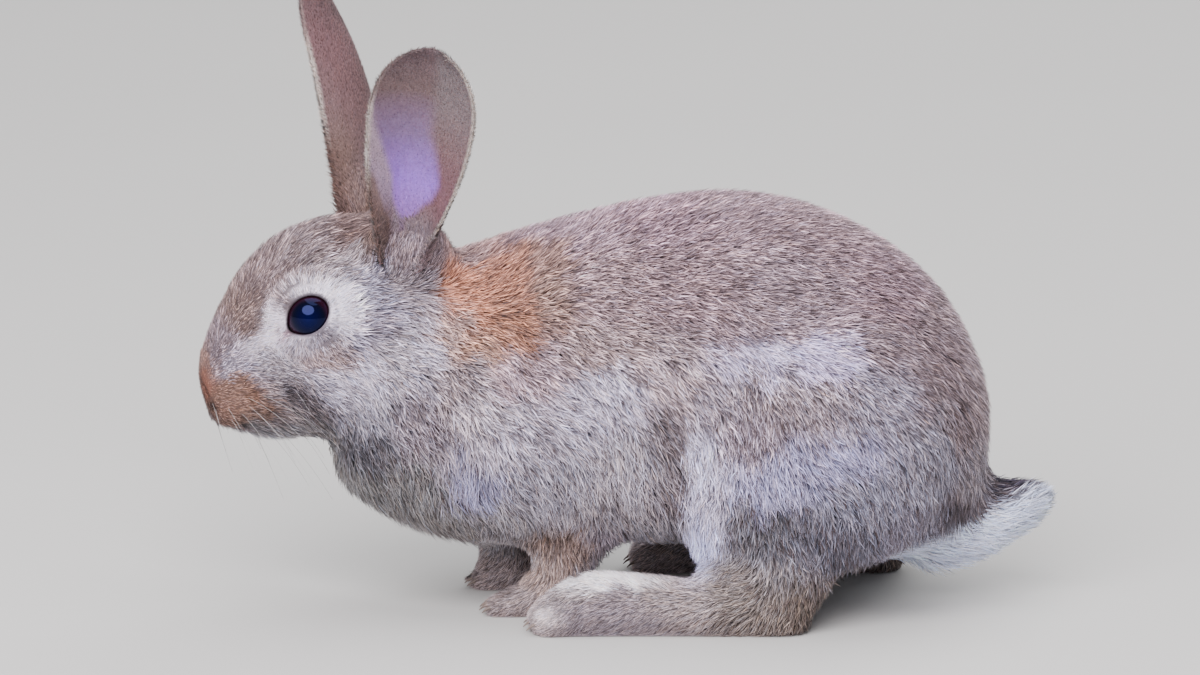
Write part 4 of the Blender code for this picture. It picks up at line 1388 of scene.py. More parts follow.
def coat_areas():
    """Each coat piece's name, a slot name that nothing reads, and the test that picks its skin."""

    def nodes(*names):
        wanted = [FLESH_NODES.index(name) for name in names]
        return lambda owner, place: np.isin(owner, wanted)

    def trunk_part(side, rear):
        trunk = nodes("trunk")
        return lambda owner, place: (
            trunk(owner, place) & (place[:, 1] * side > 0) & ((place[:, 0] > TRUNK_MIDDLE) == rear)
        )

    areas = [("coat_head", "agouti_fur", nodes("head")), ("coat_neck", "agouti_fur", nodes("neck"))]
    for half, rear in (("coat_shoulder_", False), ("coat_loin_", True)):
        areas += [(half + word, "agouti_fur", trunk_part(side, rear)) for word, side in SIDES.items()]
    areas += [("coat_haunch_" + word, "grey_fur", nodes("haunch_" + word)) for word in SIDES]
    for word in SIDES:
        legs = nodes("foreleg_" + word, "forefoot_" + word, "hind_foot_" + word)
        areas.append(("coat_legs_" + word, "buff_fur", legs))
    areas.append(("coat_tail", "white_fur", nodes("tail")))
    areas.append(("coat_ears", "ear_skin", lambda owner, place: owner == ON_EAR))
    return areas


def read_skin(mesh):
    fields = Fields(*(get_attribute(mesh, "coat_" + name) for name in Fields._fields))
    return Skin(to_body(mesh_points(mesh)), mesh_triangles(mesh), fields, get_attribute(mesh, "node"))


def unwrapped(points, tris):
    """Places on an unwrap of some of the skin, for each corner of its triangles."""
    used, compact = np.unique(tris, return_inverse=True)
    patch = linked("unwrap", triangle_mesh("unwrap", points[used], compact.reshape(-1, 3)))
    bpy.context.view_layer.objects.active = patch
    patch.select_set(True)
    bpy.ops.object.mode_set(mode="EDIT")
    bpy.ops.mesh.select_all(action="SELECT")
    bpy.ops.uv.smart_project(angle_limit=math.radians(66.0), island_margin=0.003)
    bpy.ops.object.mode_set(mode="OBJECT")
    places = np.empty(len(tris) * 6, dtype=np.float32)
    patch.data.uv_layers.active.uv.foreach_get("vector", places)
    bpy.data.objects.remove(patch)
    return places.reshape(-1, 3, 2).astype(float)


class Roots(NamedTuple):
    """Where tufts grow: the skin triangle of each, and its place in it as three shares."""

    triangle: np.ndarray
    shares: np.ndarray


def spread_roots(skin, tris, amount, rng):
    """Roots spread evenly by the coat's density over some triangles of the skin."""
    corners = skin.points[tris]
    faces = np.cross(corners[:, 1] - corners[:, 0], corners[:, 2] - corners[:, 0])
    area = 0.5 * np.linalg.norm(faces, axis=1)
    wanted = area * skin.fields.density[tris].mean(axis=1) * amount
    total = np.concatenate(((0.0,), np.cumsum(wanted)))
    count = int(total[-1])
    places = (np.arange(count) + rng.random(count)) * (total[-1] / max(count, 1))
    triangle = np.clip(np.searchsorted(total, places, side="right") - 1, 0, len(tris) - 1)
    first = np.sqrt(rng.random(count))
    second = rng.random(count)
    shares = np.stack((1 - first, first * (1 - second), first * second), axis=1)
    return Roots(triangle, shares)


def at_roots(values, tris, roots):
    """A skin field's value at each root."""
    corners = values[tris[roots.triangle]]
    shares = roots.shares if values.ndim == 1 else roots.shares[:, :, None]
    return (corners * shares).sum(axis=1)


# Large primes that give each cell of space a number of its own.
LOCK_PRIMES = (73856093, 19349663, 83492791)


def lock_groups(places, size, seed):
    """A number for each root that is the same for roots of the same lock."""
    warp = wave_vectors(places, size * 3.1, seed)
    cell = np.floor((places + warp * size * 0.6) / size).astype(np.int64) * LOCK_PRIMES
    return np.unique(cell[:, 0] ^ cell[:, 1] ^ cell[:, 2], return_inverse=True)[1]


def group_mean(values, groups):
    count = np.bincount(groups)
    total = np.stack([np.bincount(groups, values[:, axis]) for axis in range(values.shape[1])], axis=1)
    return (total / count[:, None])[groups]


def mingled(values, groups, rng):
    """The rows of values dealt out anew among the members of each group."""
    dealt = np.empty_like(values)
    dealt[np.argsort(groups, kind="stable")] = values[np.lexsort((rng.random(len(groups)), groups))]
    return dealt


# How far tufts' length, width, rise and shading vary from one to the next.
LENGTH_SPREAD = (0.62, 1.2)
WIDTH_SPREAD = (0.65, 1.25)
RISE_SPREAD = (0.5, 1.2)
PHASE_SPREAD = (-0.16, 0.16)
# The least and the most that a tuft rises off the skin, against its length.
RISE_SHARES = (0.12, 0.75)
# Where along a tuft its middle is, and how steep it is below and above that, against its rise.
MIDDLE_AT = 0.45
LOW_STEEPNESS = 1.35
HIGH_STEEPNESS = 0.62
# Tufts' least width in millimetres, what each millimetre of length adds, and the length up to which it does.
THINNEST = 0.20
WIDENING = 0.055
WIDEST_FROM = 5.5
# Tufts of the first length don't gather into locks, and from the second they do so fully.
LOCK_LENGTHS = (2.0, 7.0)
# Tufts end at least this far over the floor.
TUFT_CLEARANCE = 0.15
# Millimetres over which neighbouring tufts swap their colours.
MINGLE_REACH = 2.2
# Millimetres by which tufts are rooted in the skin, and how high their keel is against their width.
ROOT_SINK = 0.35
TUFT_KEEL = 0.55
# A bent tuft's width at its middle.
BENT_WIDTH = 0.85
# Side of each tuft's patch on the UV map.
UV_PATCH = 0.003


def steered(heading, other, angle):
    """Directions turned from one towards another at right angles to it."""
    return heading * np.cos(angle)[:, None] + other * np.sin(angle)[:, None]


def laid_tufts(place, normal, lie, length, rise, loose, rng):
    """Each tuft's middle and tip, and the direction across it. It rises, swirls and bends over."""
    count = len(place)
    tangent = unit(lie - normal * (lie * normal).sum(axis=1, keepdims=True))
    swirl = (0.10 + 0.18 * loose) * waves(place, 22.0, 11)
    swirl = swirl + (0.08 + 0.14 * loose) * waves(place, 6.0, 12)
    swirl = swirl + (0.12 + 0.20 * loose) * rng.normal(0.0, 1.0, count)
    heading = steered(tangent, np.cross(normal, tangent), swirl)
    sideways = np.cross(normal, heading)
    curl = (rng.normal(0.0, 0.12, count) + loose * rng.normal(0.0, 0.22, count))[:, None]
    first = steered(heading, normal, rise * LOW_STEEPNESS)
    second = unit(steered(heading, normal, rise * HIGH_STEEPNESS) + sideways * curl)
    middle = place + first * (MIDDLE_AT * length)[:, None]
    return middle, middle + second * ((1.0 - MIDDLE_AT) * length)[:, None], sideways


def grow_piece(name, skin, tris, settings, rng):
    """The tufts of one coat piece, as a mesh."""
    roots = spread_roots(skin, tris, settings.density, rng)
    lie, length, depth, _, tint, ticks, loose = (at_roots(values, tris, roots) for values in skin.fields)
    place = at_roots(skin.points, tris, roots)
    normal = unit(at_roots(point_normals(skin.points, skin.tris), tris, roots))
    count = len(place)
    length = length * settings.length * rng.uniform(*LENGTH_SPREAD, count)
    rise = np.arcsin(np.clip(depth / np.maximum(length, 0.5), *RISE_SHARES)) * settings.stand
    rise = rise * (rng.uniform(*RISE_SPREAD, count) + loose * np.abs(rng.normal(0.0, 0.35, count)))
    middle, tip, sideways = laid_tufts(place, normal, lie, length, rise, loose, rng)
    groups = lock_groups(place, settings.lock_size / MM, 21)
    lock_tip = group_mean(tip - place, groups) + group_mean(place, groups)
    gathers = settings.lock_pull * smooth_step(*LOCK_LENGTHS, length) * (0.25 + loose)
    pull = (gathers * rng.uniform(0.1, 1.0, count))[:, None]
    tip = tip + (lock_tip - tip) * pull * 0.5
    middle = middle + (lock_tip - tip) * pull * 0.12
    for end in (middle, tip):
        end[:, 2] = np.maximum(end[:, 2], FLOOR_LEVEL + TUFT_CLEARANCE + 0.2 * rng.random(count))
    bent = length > settings.bend_from / MM
    bent &= rng.random(count) < settings.bent_share * (0.6 + loose)
    width = (THINNEST + WIDENING * np.minimum(length, WIDEST_FROM)) * settings.width
    width = width * rng.uniform(*WIDTH_SPREAD, count)
    if name != "coat_ears":
        tint = mingled(tint, lock_groups(place, MINGLE_REACH, 51), rng)
    colour, tip_band = tuft_colours(tint, ticks, place, groups, settings, rng)
    spot = (unwrapped(skin.points, tris)[roots.triangle] * roots.shares[:, :, None]).sum(axis=1)
    phase = rng.uniform(*PHASE_SPREAD, count)
    tufts = Tufts(place, middle, tip, sideways, normal, width, colour, tip_band, phase, spot)
    return tuft_mesh(name, tufts, bent)


class Tufts(NamedTuple):
    """Arrays with one row for each tuft, in body millimetres."""

    root: np.ndarray
    middle: np.ndarray
    tip: np.ndarray
    sideways: np.ndarray
    normal: np.ndarray
    width: np.ndarray
    colour: np.ndarray
    tip_band: np.ndarray
    phase: np.ndarray
    spot: np.ndarray

    def only(self, chosen):
        return Tufts(*(values[chosen] for values in self))


def tuft_colours(tint, ticks, place, groups, settings, rng):
    """Each tuft's linear colour, and its tip's band: down to -1 for a dark one, up to 1 for a frosted one."""
    count = len(tint)
    calm = (1.0 - 0.7 * whiteness(tint)) * (0.42 + 0.58 * smooth_step(0.0, 0.30, ticks))
    calm = calm[:, None]
    shortfall = settings.tuft_contrast * calm
    light = (1.0 + 0.85 * shortfall) * np.exp(-shortfall * np.abs(rng.normal(0.0, 1.0, (count, 1))))
    lock_light = np.exp(rng.normal(0.0, settings.lock_contrast, groups.max() + 1))[groups][:, None] ** calm
    patchy = 1.0 + 0.07 * waves(place, 9.0, 31)[:, None] + 0.05 * waves(place, 30.0, 32)[:, None]
    warm = rng.normal(0.0, 0.05, (count, 1)) * np.array((1.0, 0.1, -1.0))
    colour = np.clip(tint * light * lock_light * patchy * (1.0 + warm), 0.0, 0.97)
    kind = rng.random(count)
    amount = rng.uniform(0.5, 1.0, count)
    dark = kind < ticks * settings.ticking
    frosted = kind > 1.0 - settings.frosting * smooth_step(0.0, 0.15, ticks)
    return colour, np.where(dark, -amount, np.where(frosted, amount * 0.8, 0.0))


def tuft_rows(tufts, bent):
    """Points, normals, patch places and shares along for the corners of tufts, one row for each corner."""
    side = tufts.sideways * (tufts.width * 0.5)[:, None]
    keel = tufts.normal * (tufts.width * TUFT_KEEL)[:, None]
    sunk = tufts.root - tufts.normal * ROOT_SINK
    points = [sunk - side, sunk + side, sunk + keel]
    leaning = [-tufts.sideways, tufts.sideways, tufts.normal]
    patch = [(0.0, 0.0), (1.0, 0.0), (0.5, 0.0)]
    if bent:
        points += [tufts.middle + offset * BENT_WIDTH for offset in (-side, side, keel)]
        leaning += leaning
        patch += [(0.1, 0.5), (0.9, 0.5), (0.5, 0.5)]
    points.append(tufts.tip)
    leaning.append(tufts.normal)
    patch.append((0.5, 1.0))
    normals = [unit(0.7 * tufts.normal + 0.5 * lean) for lean in leaning]
    spots = [tufts.spot + (np.array(corner) - 0.5) * UV_PATCH for corner in patch]
    stack = [np.stack(rows, axis=1) for rows in (points, normals, spots)]
    along = np.array([corner[1] for corner in patch])[None, :] + tufts.phase[:, None]
    return [rows.reshape(-1, rows.shape[2]) for rows in stack] + [along.ravel()]


BENT_FACES = np.array([
    (0, 2, 1), (0, 3, 5), (0, 5, 2), (2, 5, 4), (2, 4, 1),
    (1, 4, 3), (1, 3, 0), (3, 6, 5), (5, 6, 4), (4, 6, 3),
])
STRAIGHT_FACES = np.array([(0, 2, 1), (0, 3, 2), (2, 3, 1), (1, 3, 0)])


def whiteness(colours):
    """How far linear colours are those of white fur, which has no slaty roots."""
    return smooth_step(0.46, 0.78, colours[:, :3].mean(axis=1))


def tuft_mesh(name, tufts, bent):
    """One mesh of closed tufts, three-sided and pointed: the long ones that bend, and the straight ones."""
    parts, faces, colours, bands, base = [], [], [], [], 0
    for chosen, pattern, is_bent in ((bent, BENT_FACES, True), (~bent, STRAIGHT_FACES, False)):
        some = tufts.only(chosen)
        rows = tuft_rows(some, is_bent)
        corners = pattern.max() + 1
        starts = base + corners * np.arange(len(some.root))
        faces.append((starts[:, None, None] + pattern[None]).reshape(-1, 3))
        base += len(rows[0])
        parts.append(rows)
        colours.append(np.repeat(some.colour, corners, axis=0))
        bands.append(np.repeat(some.tip_band, corners))
    points, normals, spots, along = (np.concatenate(rows) for rows in zip(*parts))
    tris = np.concatenate(faces)
    mesh = triangle_mesh(name, points, tris)
    put_attribute(mesh, "coat_colour", "FLOAT_COLOR", np.concatenate(colours))
    put_attribute(mesh, "along", "FLOAT", along)
    put_attribute(mesh, "tip_band", "FLOAT", np.concatenate(bands))
    put_attribute(mesh, "whiteness", "FLOAT", whiteness(np.concatenate(colours)))
    layer = mesh.uv_layers.new(name="OFBake")
    layer.uv.foreach_set("vector", spots[tris.ravel()].astype(np.float32).ravel())
    mesh.normals_split_custom_set_from_vertices(normals)
    return mesh


# ---- eyes


GLOBE_RINGS = 40
GLOBE_SECTORS = 64
# Degrees from the gaze within which the cornea stands out.
CORNEA_SPREAD = 32.0
# Colours of the iris's dark inner edge, and of what the lids hide.
INNER_IRIS = (0.001, 0.001, 0.004)
HIDDEN_RIM = (0.002, 0.002, 0.002)


def build_globe(side, settings):
    """One eyeball, with its pole where the eye looks, and a low bulge for the cornea."""
    gaze, centre = unit(mirrored(EYE_GAZE, side)), mirrored(EYE_CENTRE, side)
    bulge = settings.cornea_bulge / MM
    forward = unit(np.array((-1.0, 0.0, 0.0)) + gaze * gaze[0])
    upward = np.cross(gaze, forward)
    points, reach = [centre + gaze * (EYE_RADIUS + bulge)], [0.0]
    for ring in range(1, GLOBE_RINGS):
        angle = math.pi * ring / GLOBE_RINGS
        radius = EYE_RADIUS + bulge * math.exp(-((math.degrees(angle) / CORNEA_SPREAD) ** 2))
        for sector in range(GLOBE_SECTORS):
            turn = math.tau * sector / GLOBE_SECTORS
            way = forward * math.cos(turn) + upward * math.sin(turn)
            points.append(centre + (gaze * math.cos(angle) + way * math.sin(angle)) * radius)
            reach.append(math.degrees(angle))
    points.append(centre - gaze * EYE_RADIUS)
    reach.append(180.0)
    last = len(points) - 1
    tris = []
    for sector in range(GLOBE_SECTORS):
        after = (sector + 1) % GLOBE_SECTORS
        tris.append((0, 1 + sector, 1 + after))
        tris.append((last, last - GLOBE_SECTORS + after, last - GLOBE_SECTORS + sector))
        for ring in range(GLOBE_RINGS - 2):
            a, b = 1 + ring * GLOBE_SECTORS + sector, 1 + ring * GLOBE_SECTORS + after
            tris.append((a, a + GLOBE_SECTORS, b + GLOBE_SECTORS))
            tris.append((a, b + GLOBE_SECTORS, b))
    mesh = triangle_mesh("globe", np.array(points), np.array(tris))
    put_attribute(mesh, "from_gaze", "FLOAT", np.array(reach) / 90.0)
    return mesh


def eye_material(settings):
    """A wet dark eye: black pupil with a painted blue reflection, deep brown iris with faint rays, gloss
    tinted blue as painted sky reflection.
    """
    shader = Shader("wet_eye")
    pupil, iris = tuple(settings.pupil_and_reflection_colour), tuple(settings.iris_colour)
    reach, rays = shader.attribute("from_gaze"), shader.noise(900.0, roughness=0.6)
    uneven = shader.ordered("ShaderNodeMath", {"operation": "MULTIPLY_ADD"}, rays, 0.05, reach)
    outer = tuple(0.7 * channel for channel in iris)
    stops = [(0.0, pupil), (0.06, pupil), (0.42, INNER_IRIS), (0.54, iris), (0.62, outer), (0.70, HIDDEN_RIM)]
    return shader.finish(
        base_color=shader.ramp(uneven, stops),
        roughness=0.06,
        specular_ior_level=0.31,
        # The gloss's blue tint is painted sky colour in the lamps' reflections.
        specular_tint=(0.27, 0.34, 1.0, 1.0),
    )


# ---- whiskers and claws


SPROUT_INPUTS = {
    "Root Radius": 0.0002, "Tip Radius": 0.00002, "Bend": 0.2, "Unevenness": 0.1,
    "Sides": 5, "Steps": 8, "Seed": 1,
}


def sprout_tree(name, material):
    """Geometry Nodes that set a bent, tapered shoot on each point, turned and scaled by its own values."""
    tree = bpy.data.node_groups.new(name, "GeometryNodeTree")
    tree.interface.new_socket("Geometry", in_out="INPUT", socket_type="NodeSocketGeometry")
    for label, default in SPROUT_INPUTS.items():
        kind = "NodeSocketInt" if isinstance(default, int) else "NodeSocketFloat"
        tree.interface.new_socket(label, in_out="INPUT", socket_type=kind).default_value = default
    tree.interface.new_socket("Geometry", in_out="OUTPUT", socket_type="NodeSocketGeometry")
    nodes = Nodes(tree)
    given = nodes.node("NodeGroupInput").outputs

    end = nodes.node("ShaderNodeCombineXYZ", x=given["Bend"], z=1.0)
    spine = nodes.node(
        "GeometryNodeCurveQuadraticBezier", resolution=given["Steps"],
        start=(0.0, 0.0, 0.0), middle=(0.0, 0.0, 0.5), end=end,
    )
    reach = nodes.node("GeometryNodeInputNamedAttribute", {"data_type": "FLOAT"}, name="reach")
    turn = nodes.node("GeometryNodeInputNamedAttribute", {"data_type": "FLOAT_VECTOR"}, name="turn")
    facing = nodes.node("FunctionNodeEulerToRotation", euler=turn)
    low = nodes.ordered("ShaderNodeMath", {"operation": "SUBTRACT"}, 1.0, given["Unevenness"])
    chance = nodes.node(
        "FunctionNodeRandomValue", {"data_type": "FLOAT"}, min=low, max=1.0, seed=given["Seed"]
    )
    size = nodes.ordered("ShaderNodeMath", {"operation": "MULTIPLY"}, reach, chance)
    shoots = nodes.node(
        "GeometryNodeInstanceOnPoints", points=given["Geometry"], instance=spine, rotation=facing, scale=size
    )
    made = nodes.node("GeometryNodeRealizeInstances", geometry=shoots)
    profile = nodes.node("GeometryNodeCurvePrimitiveCircle", resolution=given["Sides"], radius=1.0)
    along = nodes.node("GeometryNodeSplineParameter")
    thin = nodes.node(
        "ShaderNodeMapRange", value=along, to_min=given["Root Radius"], to_max=given["Tip Radius"]
    )
    tube = nodes.node(
        "GeometryNodeCurveToMesh", curve=made, profile_curve=profile, scale=thin, fill_caps=True
    )
    smooth = nodes.node("GeometryNodeSetShadeSmooth", geometry=tube)
    finish = nodes.node("GeometryNodeSetMaterial", geometry=smooth, material=material)
    nodes.node("NodeGroupOutput", geometry=finish)
    return tree


class Sprout(NamedTuple):
    """Where a shoot grows, where it aims, which way it hangs, its length, and whether it is pale."""

    place: np.ndarray
    aim: tuple
    droop: tuple
    reach: float
    pale: float = 0.0


def sprouted(name, roots, tree, values):
    """A piece made by the tree, with a shoot from each root."""
    mesh = bpy.data.meshes.new(name + "_roots")
    mesh.from_pydata([tuple(p) for p in to_frame(np.array([root.place for root in roots]))], [], [])
    turns = []
    for root in roots:
        aim, droop = Vector(root.aim).normalized(), Vector(root.droop)
        droop = (droop - aim * droop.dot(aim)).normalized()
        turns.append(tuple(Matrix((droop, aim.cross(droop), aim)).transposed().to_euler()))
    put_attribute(mesh, "turn", "FLOAT_VECTOR", np.array(turns))
    put_attribute(mesh, "reach", "FLOAT", np.array([root.reach * MM for root in roots]))
    put_attribute(mesh, "paleness", "FLOAT", np.array([root.pale for root in roots]))
    obj = linked(name, mesh)
    modifier = obj.modifiers.new(name, "NODES")
    modifier.node_group = tree
    inputs = {item.name: item for item in tree.interface.items_tree if item.in_out == "INPUT"}
    for label, value in values.items():
        modifier[inputs[label].identifier] = value
    finished = evaluated_mesh(obj)
    obj.modifiers.clear()
    obj.data = finished
    bpy.data.meshes.remove(mesh)
    return obj


# Share of the whiskers that are pale, and millimetres by which they are rooted in the skin.
PALE_WHISKERS = 0.5
WHISKER_SINK = 0.3


def whisker_spots(per_row):
    """Place, aim and length of each whisker of one side: on the lip pad, the brow and the cheek."""
    for row in range(4):
        for column in range(per_row):
            place = (-112.0 + 4.2 * column, 9.0 + 1.2 * column, 66.5 - 2.6 * row + 0.3 * column)
            yield place, (0.25 + 0.28 * column, 0.75, -0.35 - 0.22 * row), 17.0 + 5.0 * column - 1.5 * row
    for step in range(2):
        yield (-88.0 + 5.0 * step, 13.0, 107.5), (0.2 + 0.35 * step, 0.6, 0.6), 12.0
    yield (-90.0, 18.0, 72.0), (0.6, 0.7, -0.4), 13.0


def whisker_roots(skin, settings):
    """The whiskers of both sides, each rooted in the skin close to its place."""
    rng = np.random.default_rng(settings.seed)
    roots = []
    for side in SIDES.values():
        for place, aim, reach in whisker_spots(settings.per_row):
            found, normal = skin.find_nearest(Vector(mirrored(place + rng.normal(0, 0.8, 3), side)))[:2]
            aim = mirrored(aim + rng.normal(0, 0.12, 3), side)
            reach = reach * rng.uniform(0.85, 1.2)
            pale = float(rng.random() < PALE_WHISKERS)
            root = np.array(found) - WHISKER_SINK * np.array(normal)
            roots.append(Sprout(root, aim, (0.35, 0.0, -1.0), reach, pale))
    return roots


def whisker_material():
    shader = Shader("whisker_bristle")
    streak = shader.noise(420.0, detail=2.0)
    dark = shader.ramp(streak, [(0.0, (0.02, 0.016, 0.015)), (1.0, (0.06, 0.05, 0.045))])
    light = shader.ramp(streak, [(0.0, (0.38, 0.36, 0.36)), (1.0, (0.58, 0.56, 0.56))])
    colour = shader.mixed(dark, light, shader.attribute("paleness"))
    return shader.finish(base_color=colour, roughness=0.35, specular_ior_level=0.5)


def claw_roots():
    """Four claws on each foot, at the toes' ends."""
    roots = []
    for word, side in SIDES.items():
        for toe in range(4):
            off = toe - 1.5
            ahead = math.cos(off * 0.8)
            hind = -15.8 - 2.0 * ahead + STAGGER.get("hind_foot_" + word, 0.0)
            fore = -30.0 - 1.6 * ahead + STAGGER.get("forefoot_" + word, 0.0)
            for x, toes, z, reach in ((hind, HIND_TOES, 6.0, 3.5), (fore, FORE_TOES, 5.0, 2.8)):
                place = mirrored((x, toes.middle + toes.spacing * off, z), side)
                roots.append(Sprout(place, (-1.0, side * off * 0.10, -0.22), (-0.2, 0.0, -1.0), reach))
    return roots


def claw_material(settings):
    shader = Shader("claw_horn")
    grain = shader.noise(700.0, roughness=0.6)
    dark = tuple(settings.colour)
    pale = tuple(2.6 * channel for channel in dark)
    return shader.finish(
        base_color=shader.ramp(grain, [(0.25, dark), (0.8, pale)]),
        roughness=0.38,
        specular_ior_level=0.5,
        normal=shader.bump(grain, 0.0001, 0.4),
    )


# ---- stage


# The key light's direction from the eye and its distance, and the other lights' places from the middle.
KEY_WAY = (-0.16, -0.76, 0.63)
KEY_DISTANCE = 1.5
TOP_PLACE = (0.2, 0.1, 1.9)
BACK_PLACE = (0.9, 1.4, 1.3)
# The back light's power against the key light's.
BACK_SHARE = 0.35
SKY_COLOUR = (0.97, 0.955, 1.0, 1.0)
SENSOR_WIDTH = 36.0
# How far ahead of the middle the camera aims, and at what height.
AIM_AHEAD = 0.0074
AIM_HEIGHT = 0.0811


def aimed(obj, place, target):
    obj.location = place
    obj.rotation_euler = (Vector(target) - Vector(place)).to_track_quat("-Z", "Y").to_euler()


def soft_light(name, place, target, size, power, colour):
    light = bpy.data.lights.new(name, "AREA")
    light.shape = "ELLIPSE"
    light.size, light.size_y = size
    light.energy = power
    light.color = colour
    aimed(linked(name, light, "stage"), place, target)


def floor_material(settings):
    shader = Shader("pale_floor")
    tint = shader.node("ShaderNodeRGB").outputs[0]
    tint.default_value = (*settings.floor_colour, 1.0)
    colour = shader.scaled(tint, shader.varied(shader.noise(3.0, detail=2.0), 0.015))
    return shader.finish(base_color=colour, roughness=0.9, specular_ior_level=0.1)


# ---- settings


class SkinSettings(bpy.types.PropertyGroup):
    """Sizes of the skin."""

    grain: FloatProperty(
        name="Grain", description="Size of the surface's cells", default=0.0017, min=0.0005, unit="LENGTH"
    )
    join_growth: FloatProperty(
        name="Join growth", description="How far each part is grown so that they run together",
        default=0.00025, unit="LENGTH",
    )
    smoothing: IntProperty(name="Smoothing", description="Rounds that take the facets away", default=16)
    ear_thickness: FloatProperty(
        name="Ear thickness", description="Thickness of the ear's skin", default=0.0013, unit="LENGTH"
    )
    # Partly the underfur's own slaty tone, partly painted shade deep in the coat.
    underfur_shade: FloatProperty(
        name="Underfur shade", description="Skin's lightness against the coat's", default=0.32,
        min=0.0, max=1.0, subtype="FACTOR",
    )


class CoatSettings(bpy.types.PropertyGroup):
    """Sizes and colours of the coat."""

    density: FloatProperty(name="Density", description="Share of the full number of tufts", default=0.97)
    length: FloatProperty(name="Length", description="Tufts' length against the chart's", default=1.0)
    width: FloatProperty(name="Width", description="Tufts' width against the chart's", default=1.0)
    stand: FloatProperty(name="Stand", description="How far tufts stand off the skin", default=1.0)
    bend_from: FloatProperty(
        name="Bent from", description="Length from which tufts may bend", default=0.0048, unit="LENGTH"
    )
    bent_share: FloatProperty(
        name="Bent share", description="Share of the long tufts that bend", default=0.26, subtype="FACTOR"
    )
    lock_size: FloatProperty(
        name="Lock size", description="Breadth of a lock", default=0.0023, unit="LENGTH"
    )
    lock_pull: FloatProperty(
        name="Lock pull", description="How far tips gather into locks", default=0.7, subtype="FACTOR"
    )
    root_shade: FloatProperty(
        name="Root shade", description="Roots' lightness against the tips'", default=0.16, subtype="FACTOR"
    )
    tuft_contrast: FloatProperty(
        name="Contrast", description="Spread of lightness from tuft to tuft", default=0.70, subtype="FACTOR"
    )
    lock_contrast: FloatProperty(
        name="Lock contrast", description="Spread of lightness from lock to lock", default=0.20,
        subtype="FACTOR",
    )
    ticking: FloatProperty(name="Ticking", description="Share of the chart's dark tips", default=1.15)
    frosting: FloatProperty(
        name="Frosting", description="Share of tufts with frosted tips", default=0.12, subtype="FACTOR"
    )
    dark_tip: FloatVectorProperty(
        name="Dark tip", description="Colour of the dark tips", default=(0.07, 0.045, 0.045), subtype="COLOR"
    )
    pale_gain: FloatProperty(
        name="Frost", description="Frosted tips' lightness against the tuft's", default=1.45
    )
    seed: IntProperty(name="Seed", description="Seed of the coat's chance", default=5)


class EyeSettings(bpy.types.PropertyGroup):
    """Sizes and colours of the eyes."""

    cornea_bulge: FloatProperty(
        name="Cornea bulge", description="How far the cornea stands out", default=0.0003, unit="LENGTH"
    )
    # The pupil is black; the blue in this colour is a painted reflection of the sky.
    pupil_and_reflection_colour: FloatVectorProperty(
        name="Pupil", description="Pupil's colour", default=(0.0003, 0.0003, 0.022), subtype="COLOR"
    )
    iris_colour: FloatVectorProperty(
        name="Iris", description="Iris's colour", default=(0.015, 0.003, 0.008), subtype="COLOR"
    )


class WhiskerSettings(bpy.types.PropertyGroup):
    """Sizes of the whiskers."""

    per_row: IntProperty(name="Per row", description="Whiskers in each row of a lip pad", default=4)
    root_radius: FloatProperty(
        name="Root radius", description="Half thickness at the root", default=0.000037, unit="LENGTH"
    )
    bend: FloatProperty(name="Bend", description="How far a whisker hangs, against its length", default=0.28)
    seed: IntProperty(name="Seed", description="Seed of the whiskers' chance", default=3)


class ClawSettings(bpy.types.PropertyGroup):
    """Sizes and colour of the claws."""

    root_radius: FloatProperty(
        name="Root radius", description="Half thickness at the root", default=0.0006, unit="LENGTH"
    )
    bend: FloatProperty(name="Bend", description="How far a claw curves, against its length", default=0.35)
    colour: FloatVectorProperty(
        name="Horn", description="Horn's colour", default=(0.10, 0.075, 0.065), subtype="COLOR"
    )


class StageSettings(bpy.types.PropertyGroup):
    """Camera, lights and floor."""

    elevation: FloatProperty(
        name="Elevation", description="Camera's height angle", default=math.radians(13.0), subtype="ANGLE"
    )
    distance: FloatProperty(
        name="Distance", description="Camera's distance", default=3.0, unit="LENGTH"
    )
    framed_width: FloatProperty(
        name="Framed width", description="Width seen at the rabbit", default=0.36, unit="LENGTH"
    )
    floor_size: FloatProperty(name="Floor size", description="Side of the floor", default=14.0, unit="LENGTH")
    floor_colour: FloatVectorProperty(
        name="Floor", description="Floor's colour", default=(0.54, 0.54, 0.525), subtype="COLOR"
    )
    key_power: FloatProperty(name="Key", description="Power of the key light", default=51.0, unit="POWER")
    top_power: FloatProperty(name="Top", description="Power of the top light", default=37.0, unit="POWER")
    sky_strength: FloatProperty(name="Sky", description="Strength of the sky's light", default=0.48)


# ---- operators


class RABBIT_OT_skin(bpy.types.Operator):
    """Builds the skin, with its lids and ears, in place of the solids of flesh"""

    bl_idname = "rabbit.skin"
    bl_label = "Skin"

    def execute(self, context):
        skin = build_skin(context.scene.rabbit_skin)
        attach(skin, "root")
        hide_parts(*FLESH_NODES, *EAR_NODES)
        return {"FINISHED"}


class RABBIT_OT_eyes(bpy.types.Operator):
    """Builds the two eyeballs"""

    bl_idname = "rabbit.eyes"
    bl_label = "Eyes"

    def execute(self, context):
        settings = context.scene.rabbit_eyes
        material = eye_material(settings)
        for word, side in SIDES.items():
            mesh = build_globe(side, settings)
            mesh.materials.append(material)
            globe = linked("globe_" + word, mesh)
            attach(globe, "root")
            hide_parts("eye_" + word)
        return {"FINISHED"}


